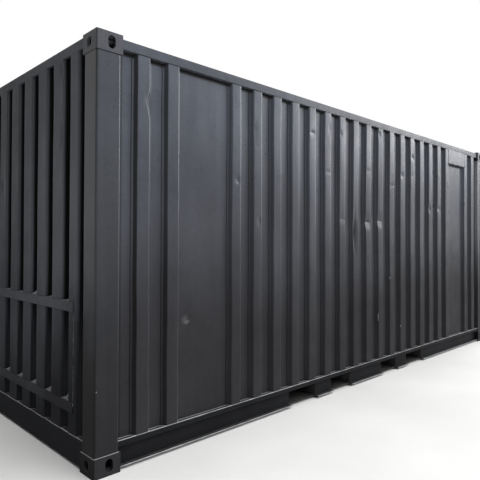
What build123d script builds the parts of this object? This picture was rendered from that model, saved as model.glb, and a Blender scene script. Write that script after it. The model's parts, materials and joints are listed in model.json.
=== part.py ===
from build123d import *
import os

# Shipping container, 20 ft steel dry-cargo type, in millimetres.
# X runs along the length with the blind end at the low side and the doors at the high side,
# Y across the width, Z up. The origin is the centre of the footprint, on the ground.

# Overall size
LENGTH = 6058.0
WIDTH = 2438.0
HEIGHT = 2591.0

# Repeated round features have this many sides, which keeps the mesh light
ROUND_SIDES = 16

# Corner fittings: hollow castings with an oval hole in each outer face
FITTING_LENGTH = 178.0
FITTING_WIDTH = 162.0
FITTING_HEIGHT = 118.0
FITTING_CAP = 28.0
FITTING_WALL = 18.0
FITTING_BACK = 10.0
FITTING_EDGE_RADIUS = 9.0
CAP_HOLE_LENGTH = 124.0
CAP_HOLE_WIDTH = 63.5
SIDE_HOLE_HEIGHT = 79.5
SIDE_HOLE_WIDTH = 51.0
END_HOLE_HEIGHT = 63.5
END_HOLE_WIDTH = 51.0
HOLE_FROM_END = 101.5
HOLE_FROM_SIDE = 89.0

# Corner posts
POST_SET = 4.0
POST_WALL = 6.0
POST_BEND = 14.0
FRONT_POST_LENGTH = 167.0
FRONT_POST_WIDTH = 150.0
POST_LAP = 4.0
REAR_POST_SET = 46.0
REAR_POST_LENGTH = 128.0
REAR_POST_WIDTH = 56.0
STOP_LENGTH = 56.0
STOP_WIDTH = 14.0

# Side walls: vertical ribs pressed in steel sheet
SIDE_SET = 14.0
SIDE_SHEET = 2.0
RIB_PITCH = 233.0
RIB_FACE = 88.0
RIB_SLOPE = 28.0
RIB_DEPTH = 32.0
WIDE_FLAT_STEP = 590.0
END_RIB_STEP = 234.0
END_FLAT = 60.0

# Front wall
END_SET = 12.0
END_SHEET = 2.0
END_PITCH = 236.0
END_GAP = 101.0
END_SLOPE = 18.0
END_DEPTH = 44.0
END_LAST_FACE = 103.0

# Rails
SIDE_RAIL_DROP = 16.0
SIDE_RAIL_SIZE = 60.0
SIDE_RAIL_WALL = 3.0
FRONT_RAIL_DROP = 6.0
FRONT_RAIL_SIZE = 60.0
FRONT_RAIL_WALL = 4.0
BASE_BOTTOM = 17.0
BASE_TOP = 178.0
BASE_STEEL = 4.5
BASE_FLANGE = 40.0
BASE_LIP = 36.0
SILL_DEPTH = 60.0

# Bars across the front wall
BAR_HEIGHT = 62.0
BAR_STEEL = 6.0
BAR_LAP = 65.0
MIDDLE_BAR_BOTTOM = 926.0
LOWER_BAR_BOTTOM = 309.0
SHELF_STEEL = 4.0

# Plate in the top of a wide flat
PLATE_HEIGHT = 170.0
PLATE_STEEL = 3.0
PLATE_GAP = 4.0

# Fork pockets
POCKET_TOP = 131.0
OUTER_POCKET_WIDTH = 360.0
OUTER_POCKET_SPACING = 2050.0
INNER_POCKET_WIDTH = 305.0
INNER_POCKET_SPACING = 900.0
POCKET_PLATE = 3.0
STRAP_WIDTH = 200.0
STRAP_STEEL = 6.0

# Floor
FLOOR_THICKNESS = 28.0
FLOOR_GAP = 1.0
BOARD_JOINT = 2.0
BOARD_ROWS = 2
BOARDS_PER_ROW = 5
BEAM_HEIGHT = 122.0
BEAM_FLANGE = 45.0
BEAM_STEEL = 4.0
BEAM_PITCH = 300.0

# Roof
ROOF_SHEET = 2.0
ROOF_PITCH = 209.0
ROOF_TROUGH = 91.0
ROOF_SLOPE = 13.5
ROOF_DEPTH = 18.0
ROOF_MARGIN = 60.0
ROOF_LAP = 48.0
GUSSET_LENGTH = 300.0
GUSSET_WIDTH = 200.0
GUSSET_STEEL = 3.0

# Door frame and leaves
DOOR_SET = 60.0
FRAME_DEPTH = 114.0
DOOR_SILL_TOP = 166.0
HEADER_DROP = 6.0
LEAF_DEPTH = 50.0
LEAF_GAP = 8.0
LEAF_SIDE = 60.0
LEAF_CROSS = 110.0
DOOR_SHEET = 2.0
DOOR_TROUGHS = 4
DOOR_TROUGH_FLOOR = 260.0
DOOR_TROUGH_SLOPE = 40.0
DOOR_TROUGH_DEPTH = 36.0
GASKET_DEPTH = 40.0

# Door gear
ROD_RADIUS = 17.0
ROD_GAP = 0.3
ROD_FROM_REAR = 36.0
ROD_FROM_EDGE = 300.0
ROD_FROM_MEETING = 180.0
ROD_REACH = 70.0
CAM_WIDTH = 74.0
CAM_HEIGHT = 46.0
CAM_DEPTH = 26.0
KEEPER_GAP = 1.0
KEEPER_STEEL = 10.0
KEEPER_REACH = 38.0
KEEPER_HEIGHT = 60.0
GUIDE_WIDTH = 100.0
GUIDE_HEIGHT = 50.0
GUIDE_STEEL = 6.0
HANDLE_LENGTH = 430.0
HANDLE_HEIGHT = 36.0
HANDLE_STEEL = 12.0
HANDLE_STAGGER = 80.0
COLLAR_STEEL = 6.0
CATCH_WIDTH = 60.0
HINGES = 4
HINGE_HEIGHT = 110.0
HINGE_BLADE = 150.0
HINGE_STEEL = 10.0
PIN_RADIUS = 11.0
PIN_END = 6.0
PIN_FROM_POST = 22.0
PIN_FROM_EDGE = 26.0
KNUCKLE_RADIUS = 18.0
LUG_HEIGHT = 24.0
LUG_GAP = 1.0

# Places that follow from the sizes
FRONT = -LENGTH / 2
REAR = LENGTH / 2
LEFT = -WIDTH / 2
POST_HEIGHT = HEIGHT - 2 * FITTING_HEIGHT
TOP_FITTING_BOTTOM = HEIGHT - FITTING_HEIGHT
SIDE_FACE = LEFT + SIDE_SET
SIDE_FLOOR = SIDE_FACE + RIB_DEPTH
SIDE_INSIDE = SIDE_FLOOR + SIDE_SHEET
END_FACE = FRONT + END_SET
END_FLOOR = END_FACE + END_DEPTH
END_INSIDE = END_FLOOR + END_SHEET
SIDE_WALL_FRONT = FRONT + FRONT_POST_LENGTH
SIDE_WALL_REAR = REAR - REAR_POST_SET - REAR_POST_LENGTH
SIDE_RAIL_TOP = HEIGHT - SIDE_RAIL_DROP
FRONT_RAIL_TOP = HEIGHT - FRONT_RAIL_DROP
HEADER_TOP = HEIGHT - HEADER_DROP
SIDE_WALL_TOP = SIDE_RAIL_TOP - SIDE_RAIL_SIZE
END_WALL_TOP = FRONT_RAIL_TOP - FRONT_RAIL_SIZE
BASE_WEB = SIDE_FACE + BASE_FLANGE
FLOOR_BOTTOM = BASE_TOP - FLOOR_THICKNESS
DOOR_FACE = REAR - DOOR_SET
DOOR_BACK = DOOR_FACE - LEAF_DEPTH
POST_INSIDE = LEFT + POST_SET + REAR_POST_WIDTH

# How many ribs and grooves fit
rib_room = 2 * (min(-SIDE_WALL_FRONT, SIDE_WALL_REAR) - RIB_FACE / 2 - RIB_SLOPE - END_FLAT)
MIDDLE_RIBS = 1 + int((rib_room - 2 * (WIDE_FLAT_STEP + END_RIB_STEP)) / RIB_PITCH)
groove_room = WIDTH - 2 * (FRONT_POST_WIDTH + END_LAST_FACE + END_SLOPE) - END_GAP
END_GAPS = 1 + int(groove_room / END_PITCH)

os.makedirs("parts", exist_ok=True)


def keep(piece, name):
    """Label a finished piece and write its file."""
    piece.label = name
    export_step(piece, f"parts/{name}.step")


def keep_pair(piece, name):
    """Write a left piece and its mirror image on the right."""
    keep(piece, f"left_{name}")
    keep(piece.mirror(Plane.XZ), f"right_{name}")


def rib_centres():
    """Rib centres along a side wall, measured from its middle."""
    first = -(MIDDLE_RIBS - 1) / 2 * RIB_PITCH
    middle = [first + i * RIB_PITCH for i in range(MIDDLE_RIBS)]
    inner = first - WIDE_FLAT_STEP
    outer = inner - END_RIB_STEP
    return [outer, inner] + middle + [-inner, -outer]


def side_profile():
    """Outer line of the left wall in plan, from the front post to the rear post."""
    half = RIB_FACE / 2
    points = [(SIDE_WALL_FRONT, SIDE_FLOOR)]
    for x in rib_centres():
        points += [(x - half - RIB_SLOPE, SIDE_FLOOR), (x - half, SIDE_FACE)]
        points += [(x + half, SIDE_FACE), (x + half + RIB_SLOPE, SIDE_FLOOR)]
    return points + [(SIDE_WALL_REAR, SIDE_FLOOR)]


def end_gap_centres():
    """Centres of the open grooves between the faces of the front wall."""
    return [(i - (END_GAPS - 1) / 2) * END_PITCH for i in range(END_GAPS)]


def end_profile():
    """Outer line of the front wall in plan, from the left post to the right post."""
    half = END_GAP / 2
    edge = END_PITCH * (END_GAPS - 1) / 2 + half + END_LAST_FACE
    wall = -(LEFT + FRONT_POST_WIDTH)
    points = [(END_FLOOR, -wall), (END_FLOOR, -edge - END_SLOPE), (END_FACE, -edge)]
    for y in end_gap_centres():
        points += [(END_FACE, y - half), (END_FLOOR, y - half + END_SLOPE)]
        points += [(END_FLOOR, y + half - END_SLOPE), (END_FACE, y + half)]
    return points + [(END_FACE, edge), (END_FLOOR, edge + END_SLOPE), (END_FLOOR, wall)]


def pocket_list():
    """Centre and width of each fork pocket."""
    outer = OUTER_POCKET_SPACING / 2
    inner = INNER_POCKET_SPACING / 2
    return [(-outer, OUTER_POCKET_WIDTH), (-inner, INNER_POCKET_WIDTH),
            (inner, INNER_POCKET_WIDTH), (outer, OUTER_POCKET_WIDTH)]


def oval_hole(length, width, place, turn=0):
    """Draw a long hole with round ends in the current sketch, turned by an angle."""
    with Locations(Location((*place, 0), (0, 0, turn))):
        Rectangle(length - width, width)
        with GridLocations(length - width, 0, 2, 1):
            RegularPolygon(width / 2, ROUND_SIDES)


# Corner fittings
with BuildPart() as fitting:
    with BuildSketch(Plane.XY):
        Rectangle(FITTING_LENGTH, FITTING_WIDTH, align=(Align.MIN, Align.MIN))
    extrude(amount=FITTING_HEIGHT)
    outer_edges = fitting.edges().filter_by(Axis.Z).sort_by(Axis.X)[:2]
    fillet(outer_edges.sort_by(Axis.Y)[:1], radius=FITTING_EDGE_RADIUS)
    with BuildSketch(Plane.XY.offset(FITTING_CAP)):
        with Locations((FITTING_WALL, FITTING_WALL)):
            Rectangle(FITTING_LENGTH - FITTING_WALL - FITTING_BACK,
                      FITTING_WIDTH - FITTING_WALL - FITTING_BACK,
                      align=(Align.MIN, Align.MIN))
    extrude(amount=FITTING_HEIGHT - FITTING_CAP - FITTING_BACK, mode=Mode.SUBTRACT)
    with BuildSketch(Plane.XY):
        oval_hole(CAP_HOLE_LENGTH, CAP_HOLE_WIDTH, (HOLE_FROM_END, HOLE_FROM_SIDE))
    extrude(amount=FITTING_CAP, mode=Mode.SUBTRACT)
    with BuildSketch(Plane.XZ):
        oval_hole(SIDE_HOLE_HEIGHT, SIDE_HOLE_WIDTH, (HOLE_FROM_END, FITTING_HEIGHT / 2), 90)
    extrude(amount=-FITTING_WALL, mode=Mode.SUBTRACT)
    with BuildSketch(Plane.YZ):
        oval_hole(END_HOLE_HEIGHT, END_HOLE_WIDTH, (HOLE_FROM_SIDE, FITTING_HEIGHT / 2), 90)
    extrude(amount=FITTING_WALL, mode=Mode.SUBTRACT)

front_left = fitting.part.moved(Location((FRONT, LEFT, 0)))
for level in ("bottom", "top"):
    front = front_left if level == "bottom" else front_left.mirror(Plane.XY.offset(HEIGHT / 2))
    for end in ("front", "rear"):
        left = front if end == "front" else front.mirror(Plane.YZ)
        keep(left, f"{end}_left_{level}_fitting")
        keep(left.mirror(Plane.XZ), f"{end}_right_{level}_fitting")

# The space that the eight fittings fill, to notch their neighbours
with BuildPart() as fitting_blocks:
    for z in (FITTING_HEIGHT / 2, HEIGHT - FITTING_HEIGHT / 2):
        with Locations(Plane.XY.offset(z)):
            with GridLocations(LENGTH - FITTING_LENGTH, WIDTH - FITTING_WIDTH, 2, 2):
                Box(FITTING_LENGTH, FITTING_WIDTH, FITTING_HEIGHT)

# Front corner posts: one pressed section with returns that carry the walls
with BuildPart() as front_post:
    with BuildSketch(Plane.XY.offset(FITTING_HEIGHT)):
        with BuildLine():
            FilletPolyline(
                (SIDE_WALL_FRONT, SIDE_INSIDE + POST_LAP),
                (SIDE_WALL_FRONT, LEFT + POST_SET),
                (FRONT + POST_SET, LEFT + POST_SET),
                (FRONT + POST_SET, LEFT + FRONT_POST_WIDTH),
                (END_INSIDE + POST_LAP, LEFT + FRONT_POST_WIDTH),
                radius=POST_BEND)
            offset(amount=POST_WALL, side=Side.RIGHT, kind=Kind.INTERSECTION)
        make_face()
    extrude(amount=POST_HEIGHT)
keep_pair(front_post.part, "front_post")

# Rear corner posts: a hollow section with a step that the doors close against
REAR_POST_FACE = REAR - REAR_POST_SET
with BuildPart() as rear_post:
    with BuildSketch(Plane.XY.offset(FITTING_HEIGHT)) as post_section:
        with BuildLine():
            Polyline(
                (REAR_POST_FACE, LEFT + POST_SET),
                (REAR_POST_FACE, POST_INSIDE),
                (SIDE_WALL_REAR + STOP_LENGTH, POST_INSIDE),
                (SIDE_WALL_REAR + STOP_LENGTH, POST_INSIDE + STOP_WIDTH),
                (SIDE_WALL_REAR, POST_INSIDE + STOP_WIDTH),
                (SIDE_WALL_REAR, LEFT + POST_SET),
                close=True)
        make_face()
        offset(amount=-POST_WALL, mode=Mode.SUBTRACT)
    extrude(amount=POST_HEIGHT)
keep_pair(rear_post.part, "rear_post")

# Side walls
with BuildPart() as side_wall:
    with BuildSketch(Plane.XY.offset(BASE_TOP)):
        with BuildLine():
            Polyline(*side_profile())
            offset(amount=SIDE_SHEET, side=Side.LEFT, kind=Kind.INTERSECTION)
        make_face()
    extrude(amount=SIDE_WALL_TOP - BASE_TOP)
    add(fitting_blocks.part, mode=Mode.SUBTRACT)
keep_pair(side_wall.part, "side_wall")

# Plates set flush in the wide flat at the right-hand end of each side wall
plate_ribs = rib_centres()
plate_front = plate_ribs[-3] + RIB_FACE / 2 + PLATE_GAP
plate_rear = plate_ribs[-2] - RIB_FACE / 2 - PLATE_GAP
plate_line = [(plate_front + RIB_SLOPE, SIDE_FLOOR), (plate_front, SIDE_FACE),
              (plate_rear, SIDE_FACE), (plate_rear - RIB_SLOPE, SIDE_FLOOR)]
with BuildPart() as left_plate:
    with BuildSketch(Plane.XY.offset(SIDE_WALL_TOP - PLATE_HEIGHT)):
        with BuildLine():
            Polyline(*plate_line)
            offset(amount=PLATE_STEEL, side=Side.LEFT, kind=Kind.INTERSECTION)
        make_face()
    extrude(amount=PLATE_HEIGHT)
    with BuildSketch(Plane.XY.offset(SIDE_WALL_TOP - PLATE_HEIGHT)):
        with BuildLine():
            Polyline(*plate_line, close=True)
        make_face()
    extrude(amount=PLATE_STEEL)
with BuildPart() as marking_plates:
    add(left_plate.part)
    add(left_plate.part.rotate(Axis.Z, 180))
keep(marking_plates.part, "marking_plates")

# Front wall
with BuildPart() as front_wall:
    with BuildSketch(Plane.XY.offset(BASE_TOP)):
        with BuildLine():
            Polyline(*end_profile())
            offset(amount=END_SHEET, side=Side.RIGHT, kind=Kind.INTERSECTION)
        make_face()
    extrude(amount=END_WALL_TOP - BASE_TOP)
    add(fitting_blocks.part, mode=Mode.SUBTRACT)
keep(front_wall.part, "front_wall")

# Bars across the front wall, each with a shelf in every groove
bar_length = 2 * (END_PITCH * (END_GAPS - 1) / 2 + END_GAP / 2 + BAR_LAP)
for name, bottom in (("front_middle_bar", MIDDLE_BAR_BOTTOM), ("front_lower_bar", LOWER_BAR_BOTTOM)):
    with BuildPart() as front_bar:
        with BuildSketch(Plane.XY.offset(bottom)):
            with Locations((END_FACE - BAR_STEEL, 0)):
                Rectangle(BAR_STEEL, bar_length, align=(Align.MIN, Align.CENTER))
        extrude(amount=BAR_HEIGHT)
        with BuildSketch(Plane.XY.offset(bottom + BAR_HEIGHT)):
            for y in end_gap_centres():
                with BuildLine():
                    Polyline(
                        (END_FACE, y - END_GAP / 2),
                        (END_FLOOR, y - END_GAP / 2 + END_SLOPE),
                        (END_FLOOR, y + END_GAP / 2 - END_SLOPE),
                        (END_FACE, y + END_GAP / 2),
                        close=True)
                make_face()
        extrude(amount=-SHELF_STEEL)
    keep(front_bar.part, name)

# Top rails: square tubes between the fittings
with BuildPart() as top_rail:
    with BuildSketch(Plane.YZ.offset(FRONT + FITTING_LENGTH)):
        with Locations((SIDE_FACE + SIDE_RAIL_SIZE / 2, SIDE_RAIL_TOP - SIDE_RAIL_SIZE / 2)):
            Rectangle(SIDE_RAIL_SIZE, SIDE_RAIL_SIZE)
            Rectangle(SIDE_RAIL_SIZE - 2 * SIDE_RAIL_WALL, SIDE_RAIL_SIZE - 2 * SIDE_RAIL_WALL,
                      mode=Mode.SUBTRACT)
    extrude(amount=LENGTH - 2 * FITTING_LENGTH)
keep_pair(top_rail.part, "top_rail")

with BuildPart() as front_rail:
    with BuildSketch(Plane.XZ.offset(WIDTH / 2 - FITTING_WIDTH)):
        with Locations((END_FACE + FRONT_RAIL_SIZE / 2, FRONT_RAIL_TOP - FRONT_RAIL_SIZE / 2)):
            Rectangle(FRONT_RAIL_SIZE, FRONT_RAIL_SIZE)
            Rectangle(FRONT_RAIL_SIZE - 2 * FRONT_RAIL_WALL,
                      FRONT_RAIL_SIZE - 2 * FRONT_RAIL_WALL, mode=Mode.SUBTRACT)
    extrude(amount=-(WIDTH - 2 * FITTING_WIDTH))
keep(front_rail.part, "front_top_rail")

# Bottom rails: an outward channel with a turned-down lip, cut for the fork pockets
with BuildPart() as bottom_rail:
    with BuildSketch(Plane.YZ.offset(SIDE_WALL_FRONT)):
        with BuildLine():
            Polyline(
                (SIDE_FACE, BASE_TOP - BASE_LIP),
                (SIDE_FACE, BASE_TOP),
                (BASE_WEB, BASE_TOP),
                (BASE_WEB, BASE_BOTTOM),
                (SIDE_FACE, BASE_BOTTOM))
            offset(amount=BASE_STEEL, side=Side.RIGHT, kind=Kind.INTERSECTION)
        make_face()
    extrude(amount=SIDE_WALL_REAR - SIDE_WALL_FRONT)
    add(fitting_blocks.part, mode=Mode.SUBTRACT)
    for x, width in pocket_list():
        with Locations((x, BASE_WEB, (BASE_BOTTOM + POCKET_TOP) / 2)):
            Box(width, 3 * BASE_FLANGE, POCKET_TOP - BASE_BOTTOM, mode=Mode.SUBTRACT)
keep_pair(bottom_rail.part, "bottom_rail")

# Front sill: a hollow section that the front wall stands on
with BuildPart() as front_sill:
    with BuildSketch(Plane.XZ.offset(WIDTH / 2 - FRONT_POST_WIDTH)):
        with Locations((END_FACE + SILL_DEPTH / 2, (BASE_TOP + BASE_BOTTOM) / 2)):
            Rectangle(SILL_DEPTH, BASE_TOP - BASE_BOTTOM)
            Rectangle(SILL_DEPTH - 2 * BASE_STEEL, BASE_TOP - BASE_BOTTOM - 2 * BASE_STEEL,
                      mode=Mode.SUBTRACT)
    extrude(amount=-(WIDTH - 2 * FRONT_POST_WIDTH))
    add(fitting_blocks.part, mode=Mode.SUBTRACT)
keep(front_sill.part, "front_sill")

# Cross members under the floor, none of them across a fork pocket
beam_length = -2 * BASE_WEB
pocket_floor = BASE_BOTTOM + STRAP_STEEL


def beams(places, bottom):
    """One part of separate channels, each given by its web and the way it opens."""
    with BuildPart() as made:
        for x, opens in places:
            with BuildSketch(Plane.XZ.offset(beam_length / 2)):
                with BuildLine():
                    Polyline(
                        (x + opens * BEAM_FLANGE, bottom),
                        (x, bottom),
                        (x, FLOOR_BOTTOM),
                        (x + opens * BEAM_FLANGE, FLOOR_BOTTOM))
                    offset(amount=BEAM_STEEL, side=Side.RIGHT if opens > 0 else Side.LEFT,
                           kind=Kind.INTERSECTION)
                make_face()
            extrude(amount=-beam_length)
    return made.part


pocket_sides = []
for x, width in pocket_list():
    pocket_sides += [(x - width / 2, -1), (x + width / 2, 1)]
keep(beams(pocket_sides, pocket_floor), "fork_pocket_sides")

floor_front = END_FACE + SILL_DEPTH
floor_rear = SIDE_WALL_REAR
supports = [floor_front] + [x for x, opens in pocket_sides] + [floor_rear]
places = []
for start, end in zip(supports[0::2], supports[1::2]):
    count = round((end - start) / BEAM_PITCH)
    step = (end - start) / count
    places += [(start + i * step, 1) for i in range(1, count)]
keep(beams(places, FLOOR_BOTTOM - BEAM_HEIGHT), "cross_members")

with BuildPart() as pocket_tops:
    for x, width in pocket_list():
        with Locations((x, 0, POCKET_TOP + POCKET_PLATE / 2)):
            Box(width, beam_length, POCKET_PLATE)
keep(pocket_tops.part, "fork_pocket_tops")

with BuildPart() as pocket_straps:
    for x, width in pocket_list():
        for side in (-1, 1):
            y = side * (beam_length - STRAP_WIDTH) / 2
            with Locations((x, y, BASE_BOTTOM + STRAP_STEEL / 2)):
                Box(width + 2 * BEAM_FLANGE, STRAP_WIDTH, STRAP_STEEL)
keep(pocket_straps.part, "fork_pocket_straps")

# Timber floor: boards laid on the cross members between the rails
board_length = (floor_rear - floor_front - 2 * FLOOR_GAP + BOARD_JOINT) / BOARDS_PER_ROW
board_width = (beam_length - 2 * FLOOR_GAP + BOARD_JOINT) / BOARD_ROWS
with BuildPart() as floor_boards:
    with Locations(((floor_front + floor_rear) / 2, 0, FLOOR_BOTTOM + FLOOR_THICKNESS / 2)):
        with GridLocations(board_length, board_width, BOARDS_PER_ROW, BOARD_ROWS):
            Box(board_length - BOARD_JOINT, board_width - BOARD_JOINT, FLOOR_THICKNESS)
keep(floor_boards.part, "floor_boards")

# Roof: one sheet with troughs pressed down across it, lapped on the top rails
roof_front = END_FACE + FRONT_RAIL_SIZE
roof_rear = SIDE_WALL_REAR
roof_top = SIDE_RAIL_TOP + ROOF_SHEET
roof_bottom = roof_top - ROOF_DEPTH
ROOF_TROUGHS = int((roof_rear - roof_front) / ROOF_PITCH)
trough_half = -(SIDE_FACE + SIDE_RAIL_SIZE + ROOF_MARGIN)
lap_half = -(SIDE_FACE + SIDE_RAIL_SIZE - ROOF_LAP)


def trough_outlines(bottom):
    """Four corners of each pressed trough down to a level, in order along the roof."""
    middle = (roof_front + roof_rear) / 2
    half = ROOF_TROUGH / 2
    outlines = []
    for i in range(ROOF_TROUGHS):
        x = middle + (i - (ROOF_TROUGHS - 1) / 2) * ROOF_PITCH
        outlines.append([(x - half - ROOF_SLOPE, roof_top), (x - half, bottom),
                         (x + half, bottom), (x + half + ROOF_SLOPE, roof_top)])
    return outlines


roof_line = [(roof_front, roof_top)]
for outline in trough_outlines(roof_bottom):
    roof_line += outline
roof_line.append((roof_rear, roof_top))

with BuildPart() as roof:
    with BuildSketch(Plane.XZ.offset(trough_half)):
        with BuildLine():
            Polyline(*roof_line)
            offset(amount=ROOF_SHEET, side=Side.RIGHT, kind=Kind.INTERSECTION)
        make_face()
    extrude(amount=-2 * trough_half)
    for side in (-1, 1):
        with BuildSketch(Plane.XZ.offset(side * trough_half)):
            for outline in trough_outlines(roof_bottom - ROOF_SHEET):
                with BuildLine():
                    Polyline(*outline, close=True)
                make_face()
        extrude(amount=side * ROOF_SHEET)
        margin = side * (trough_half + lap_half) / 2
        with Locations((roof_front, margin, roof_top - ROOF_SHEET / 2)):
            Box(roof_rear - roof_front, lap_half - trough_half, ROOF_SHEET,
                align=(Align.MIN, Align.CENTER, Align.CENTER))
    add(fitting_blocks.part, mode=Mode.SUBTRACT)
keep(roof.part, "roof_sheet")

# Plates that guard the roof beside the top fittings
with BuildPart() as gussets:
    for x, way in ((roof_front, 1), (roof_rear, -1)):
        for side in (-1, 1):
            with Locations((x + way * GUSSET_LENGTH / 2, side * (lap_half - GUSSET_WIDTH / 2),
                            roof_top + GUSSET_STEEL / 2)):
                Box(GUSSET_LENGTH, GUSSET_WIDTH, GUSSET_STEEL)
    add(fitting_blocks.part, mode=Mode.SUBTRACT)
keep(gussets.part, "roof_corner_plates")

# Door header and sill: channels that open inwards
header_width = WIDTH - 2 * FITTING_WIDTH
with BuildPart() as header:
    with BuildSketch(Plane.XZ.offset(header_width / 2)):
        with BuildLine():
            Polyline(
                (DOOR_FACE - FRAME_DEPTH, HEADER_TOP),
                (DOOR_FACE, HEADER_TOP),
                (DOOR_FACE, TOP_FITTING_BOTTOM),
                (DOOR_FACE - FRAME_DEPTH, TOP_FITTING_BOTTOM))
            offset(amount=BASE_STEEL, side=Side.RIGHT, kind=Kind.INTERSECTION)
        make_face()
    extrude(amount=-header_width)
keep(header.part, "door_header")

sill_width = -2 * (POST_INSIDE + STOP_WIDTH)
with BuildPart() as door_sill:
    with BuildSketch(Plane.XZ.offset(sill_width / 2)):
        with BuildLine():
            Polyline(
                (DOOR_FACE - FRAME_DEPTH, DOOR_SILL_TOP),
                (DOOR_FACE, DOOR_SILL_TOP),
                (DOOR_FACE, BASE_BOTTOM),
                (DOOR_FACE - FRAME_DEPTH, BASE_BOTTOM))
            offset(amount=BASE_STEEL, side=Side.RIGHT, kind=Kind.INTERSECTION)
        make_face()
    extrude(amount=-sill_width)
    add(fitting_blocks.part, mode=Mode.SUBTRACT)
keep(door_sill.part, "door_sill")

# Door leaves: a frame with a sheet pressed in level troughs
leaf_outer = POST_INSIDE + LEAF_GAP
leaf_inner = -LEAF_GAP / 2
leaf_bottom = DOOR_SILL_TOP + LEAF_GAP
leaf_top = TOP_FITTING_BOTTOM - LEAF_GAP
leaf_width = leaf_inner - leaf_outer
leaf_height = leaf_top - leaf_bottom
leaf_middle = ((leaf_outer + leaf_inner) / 2, (leaf_bottom + leaf_top) / 2)
panel_width = leaf_width - 2 * LEAF_SIDE
panel_bottom = leaf_bottom + LEAF_CROSS
panel_top = leaf_top - LEAF_CROSS
trough_pitch = (panel_top - panel_bottom) / DOOR_TROUGHS

with BuildPart() as leaf_frame:
    with BuildSketch(Plane.YZ.offset(DOOR_BACK)):
        with Locations(leaf_middle):
            Rectangle(leaf_width, leaf_height)
            Rectangle(panel_width, leaf_height - 2 * LEAF_CROSS, mode=Mode.SUBTRACT)
    extrude(amount=LEAF_DEPTH)
keep_pair(leaf_frame.part, "door_frame")

door_line = [(DOOR_FACE, panel_bottom)]
for i in range(DOOR_TROUGHS):
    low = panel_bottom + (i + 0.5) * trough_pitch - DOOR_TROUGH_FLOOR / 2
    high = low + DOOR_TROUGH_FLOOR
    door_line += [(DOOR_FACE, low - DOOR_TROUGH_SLOPE), (DOOR_FACE - DOOR_TROUGH_DEPTH, low)]
    door_line += [(DOOR_FACE - DOOR_TROUGH_DEPTH, high), (DOOR_FACE, high + DOOR_TROUGH_SLOPE)]
door_line.append((DOOR_FACE, panel_top))

with BuildPart() as door_panel:
    with BuildSketch(Plane.XZ.offset(-leaf_outer - LEAF_SIDE)):
        with BuildLine():
            Polyline(*door_line)
            offset(amount=DOOR_SHEET, side=Side.LEFT, kind=Kind.INTERSECTION)
        make_face()
    extrude(amount=-panel_width)
keep_pair(door_panel.part, "door_panel")

# Door gaskets: a rubber ring round each leaf that meets the step of the posts
with BuildPart() as gasket:
    with BuildSketch(Plane.YZ.offset(SIDE_WALL_REAR + STOP_LENGTH)):
        with Locations(leaf_middle):
            Rectangle(leaf_width + LEAF_GAP, leaf_height + LEAF_GAP)
            Rectangle(leaf_width, leaf_height, mode=Mode.SUBTRACT)
    extrude(amount=GASKET_DEPTH)
keep_pair(gasket.part, "door_gasket")

# Locking rods with a cam at each end
rod_x = REAR - ROD_FROM_REAR
rod_places = [leaf_outer + ROD_FROM_EDGE, leaf_inner - ROD_FROM_MEETING]
rod_places += [-y for y in reversed(rod_places)]
rod_bottom = DOOR_SILL_TOP - ROD_REACH
rod_top = TOP_FITTING_BOTTOM + ROD_REACH
cam_levels = [rod_bottom + CAM_HEIGHT / 2, rod_top - CAM_HEIGHT / 2]
with BuildPart() as rods:
    for y in rod_places:
        with BuildSketch(Plane.XY.offset(rod_bottom)):
            with Locations((rod_x, y)):
                Circle(ROD_RADIUS)
        extrude(amount=rod_top - rod_bottom)
        for z in cam_levels:
            with Locations((rod_x, y, z)):
                Box(CAM_DEPTH, CAM_WIDTH, CAM_HEIGHT)
keep(rods.part, "locking_rods")

# Keepers that hold the cams, on the header and the sill
with BuildPart() as keepers:
    for y in rod_places:
        for z in cam_levels:
            for side in (-1, 1):
                lug = y + side * (CAM_WIDTH / 2 + KEEPER_GAP + KEEPER_STEEL / 2)
                with Locations((DOOR_FACE, lug, z)):
                    Box(KEEPER_REACH, KEEPER_STEEL, KEEPER_HEIGHT,
                        align=(Align.MIN, Align.CENTER, Align.CENTER))
keep(keepers.part, "cam_keepers")

# Rod guides: a folded strap with two feet on the leaf that holds the rod
guide_reach = ROD_RADIUS + ROD_GAP
guide_levels = [leaf_bottom + LEAF_CROSS / 2, panel_bottom + trough_pitch,
                panel_top - trough_pitch, leaf_top - LEAF_CROSS / 2]
with BuildPart() as guides:
    for y in rod_places:
        for z in guide_levels:
            with BuildSketch(Plane.XY.offset(z - GUIDE_HEIGHT / 2)):
                with BuildLine():
                    Polyline(
                        (DOOR_FACE, y - GUIDE_WIDTH / 2),
                        (DOOR_FACE, y - guide_reach),
                        (rod_x + guide_reach, y - guide_reach),
                        (rod_x + guide_reach, y + guide_reach),
                        (DOOR_FACE, y + guide_reach),
                        (DOOR_FACE, y + GUIDE_WIDTH / 2))
                    offset(amount=GUIDE_STEEL, side=Side.RIGHT, kind=Kind.INTERSECTION)
                make_face()
            extrude(amount=GUIDE_HEIGHT)
keep(guides.part, "rod_guides")

# Handles: a collar on each rod and a bar that lies along the leaf, with a catch for its end
handle_middle = (leaf_bottom + leaf_top) / 2
bar_x = rod_x + ROD_RADIUS
with BuildPart() as handles:
    for i, y in enumerate(rod_places):
        way = 1 if i in (0, 2) else -1
        z = handle_middle + way * HANDLE_STAGGER / 2
        with BuildSketch(Plane.XY.offset(z - HANDLE_HEIGHT / 2)):
            with Locations((rod_x, y)):
                RegularPolygon(ROD_RADIUS + COLLAR_STEEL, ROUND_SIDES)
            with Locations((bar_x, y)):
                Rectangle(HANDLE_STEEL, HANDLE_LENGTH,
                          align=(Align.MIN, Align.MIN if way > 0 else Align.MAX))
            with Locations((rod_x, y)):
                RegularPolygon(ROD_RADIUS + ROD_GAP, ROUND_SIDES, major_radius=False,
                               mode=Mode.SUBTRACT)
        extrude(amount=HANDLE_HEIGHT)
keep(handles.part, "rod_handles")

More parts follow.
